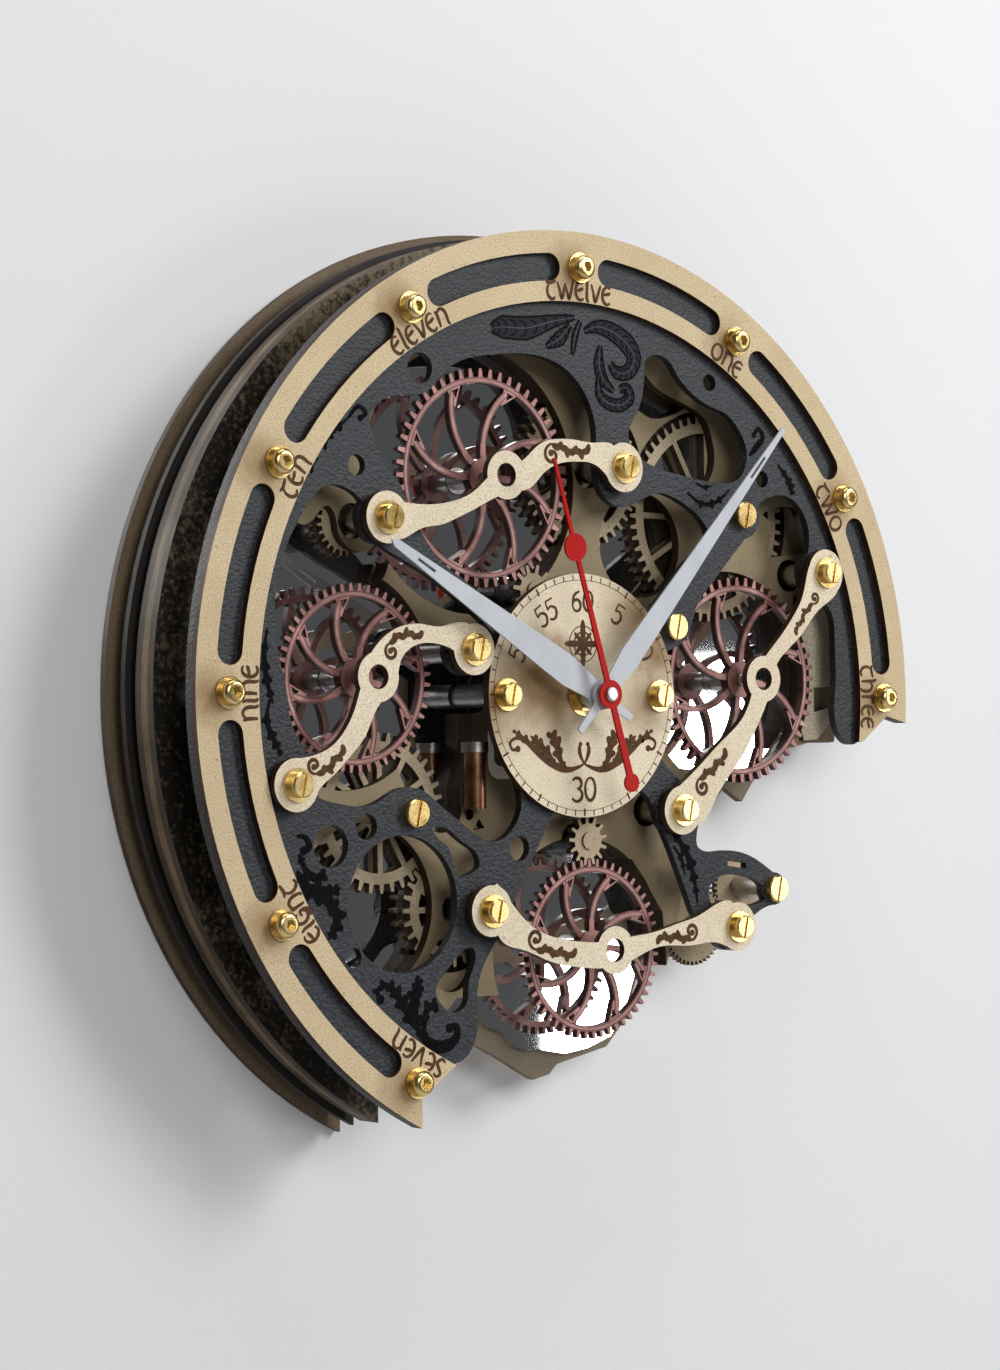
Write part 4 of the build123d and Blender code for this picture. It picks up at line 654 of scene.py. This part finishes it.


# Dark lines on the wheels: an engraved ring inside the tooth root, a ring of painted shade along the rounded
# inner edge of the rim, and dark lines along both edges of each spoke: wheel, module, angle of the first
# spoke
for wheel, module, turn in (("wheel_upper_left", 1.6, 22.0), ("wheel_left", 1.34, 10.0),
                            ("wheel_right", 1.6, 15.0), ("wheel_bottom", 1.34, 22.0)):
    low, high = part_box(wheel)
    centre = ((low[0] + high[0]) / 2 / MM, (low[2] + high[2]) / 2 / MM)
    root = module * (WHEEL_TEETH / 2 - TOOTH_DEPTH)
    inside = root - RIM_WIDTH
    lines = FlatRibbons(wheel + "_lines", WHEEL_FACE, wheel_line_and_edge_shade, wheel, "rose")
    # First the engraved ring at the tooth root, then the painted shade along the rim's rounded inner edge
    for radius, width in ((root - 0.30, 0.42), (inside + 0.30, 0.34)):
        lines.disc(centre, radius + width / 2, radius - width / 2, 96)
    for spoke in range(SPOKES):
        rim_angle = turn + 360 / SPOKES * spoke
        start = away(centre, SPOKE_START * HUB_RADIUS, rim_angle + SPOKE_LEAN)
        end = away(centre, inside + RIM_WIDTH / 2, rim_angle)
        chord_middle = ((start[0] + end[0]) / 2, (start[1] + end[1]) / 2)
        bow_place = away(chord_middle, SPOKE_BOW * root, rim_angle + 90)
        for offset in (-SPOKE_LINE_OFFSET, SPOKE_LINE_OFFSET):
            path = arc_through(start, bow_place, end, offset)
            lines.stroke(path[3:-1], (0.32, 0.36, 0.32), 1)
    lines.build()

# Camera at the photograph's place: angles in radians, place in metres
turn_z, tilt, roll = -0.6861353213, -0.0255942152, -0.0102775144
camera_place = (-0.82646, -1.01291, -0.02791)


def clock_direction(x, y, z):
    return Vector((x, -z, y))


backward = clock_direction(math.sin(turn_z) * math.cos(tilt), math.sin(tilt),
                           math.cos(turn_z) * math.cos(tilt))
level = clock_direction(math.cos(turn_z), 0, -math.sin(turn_z))
upright = backward.cross(level)
right = math.cos(roll) * level + math.sin(roll) * upright
above = -math.sin(roll) * level + math.cos(roll) * upright
view = Matrix((right, above, backward)).transposed().to_4x4()
view.translation = Vector(camera_place)
camera_data = bpy.data.cameras.new("camera")
camera_data.lens = 83.5
camera_data.sensor_width = 36.0
camera_data.sensor_fit = "AUTO"
camera_data.dof.use_dof = False
camera = bpy.data.objects.new("camera", camera_data)
camera.matrix_world = view
bpy.context.scene.collection.objects.link(camera)
bpy.context.scene.camera = camera


# Pale wall that shows from its front only, pale floor below the view, and soft lamps
def stage_plane(name, corners, colour, one_sided):
    mesh = bpy.data.meshes.new(name)
    mesh.from_pydata(corners, [], [(0, 1, 2, 3)])
    obj = bpy.data.objects.new(name, mesh)
    bpy.context.scene.collection.objects.link(obj)
    s = Shader(name)
    s.finish(colour, 0.8)
    if one_sided:
        clear = s.nodes.new("ShaderNodeBsdfTransparent")
        blend = s.nodes.new("ShaderNodeMixShader")
        rays = s.nodes.new("ShaderNodeLightPath")
        seen = s.math("ADD", rays.outputs["Is Camera Ray"], rays.outputs["Is Glossy Ray"])
        seen = s.math("ADD", seen, rays.outputs["Is Transmission Ray"], clamp=True)
        backfacing = s.nodes.new("ShaderNodeNewGeometry").outputs["Backfacing"]
        shown = s.math("MULTIPLY", seen, s.math("SUBTRACT", 1.0, backfacing))
        s.links.new(shown, blend.inputs[0])
        s.links.new(clear.outputs[0], blend.inputs[1])
        s.links.new(s.bsdf.outputs[0], blend.inputs[2])
        s.links.new(blend.outputs[0], s.nodes["Material Output"].inputs["Surface"])
    mesh.materials.append(s.material)


wall_y = 0.0005
floor_z = -1.2
top_z = 5
far = 8
stage_plane("wall", [(-far, wall_y, floor_z), (far, wall_y, floor_z),
                     (far, wall_y, top_z), (-far, wall_y, top_z)], (0.74, 0.74, 0.75), True)
stage_plane("floor", [(-far, -far, floor_z), (far, -far, floor_z), (far, far, floor_z), (-far, far, floor_z)],
            (0.70, 0.70, 0.71), False)


def lamp(name, place, aim, size, power):
    data = bpy.data.lights.new(name, "AREA")
    data.shape = "RECTANGLE"
    data.size, data.size_y = size
    data.energy = power
    obj = bpy.data.objects.new(name, data)
    obj.location = place
    obj.rotation_euler = (Vector(aim) - Vector(place)).to_track_quat("-Z", "Y").to_euler()
    bpy.context.scene.collection.objects.link(obj)


# The two soft boxes are small and low, so that the mirror shows them beside the right and bottom wheels
lamp("key", (1.35, -1.75, 1.10), (0, 0, 0), (0.9, 0.9), 36)
lamp("front", (-0.5, -2.3, 0.7), (0, 0, 0), (1.2, 0.8), 19)
lamp("softbox_low", (1.205, -1.36, -0.29), (0.03, 0, -0.12), (0.13, 0.2), 1.3)
lamp("softbox_side", (1.31, -1.36, -0.02), (0.1, 0, 0), (0.22, 0.2), 2.2)
lamp("top", (0.0, -0.6, 1.6), (0, 0, 0), (1.2, 0.5), 7)
lamp("back", (-0.9, 1.7, 0.9), (0, 0, 0), (1.2, 1.2), 40)

world = bpy.data.worlds.new("studio")
bpy.context.scene.world = world
world.use_nodes = True
background = world.node_tree.nodes["Background"]
background.inputs["Color"].default_value = (0.075, 0.075, 0.078, 1)
background.inputs["Strength"].default_value = 1.0

bpy.context.scene.view_settings.view_transform = "Standard"
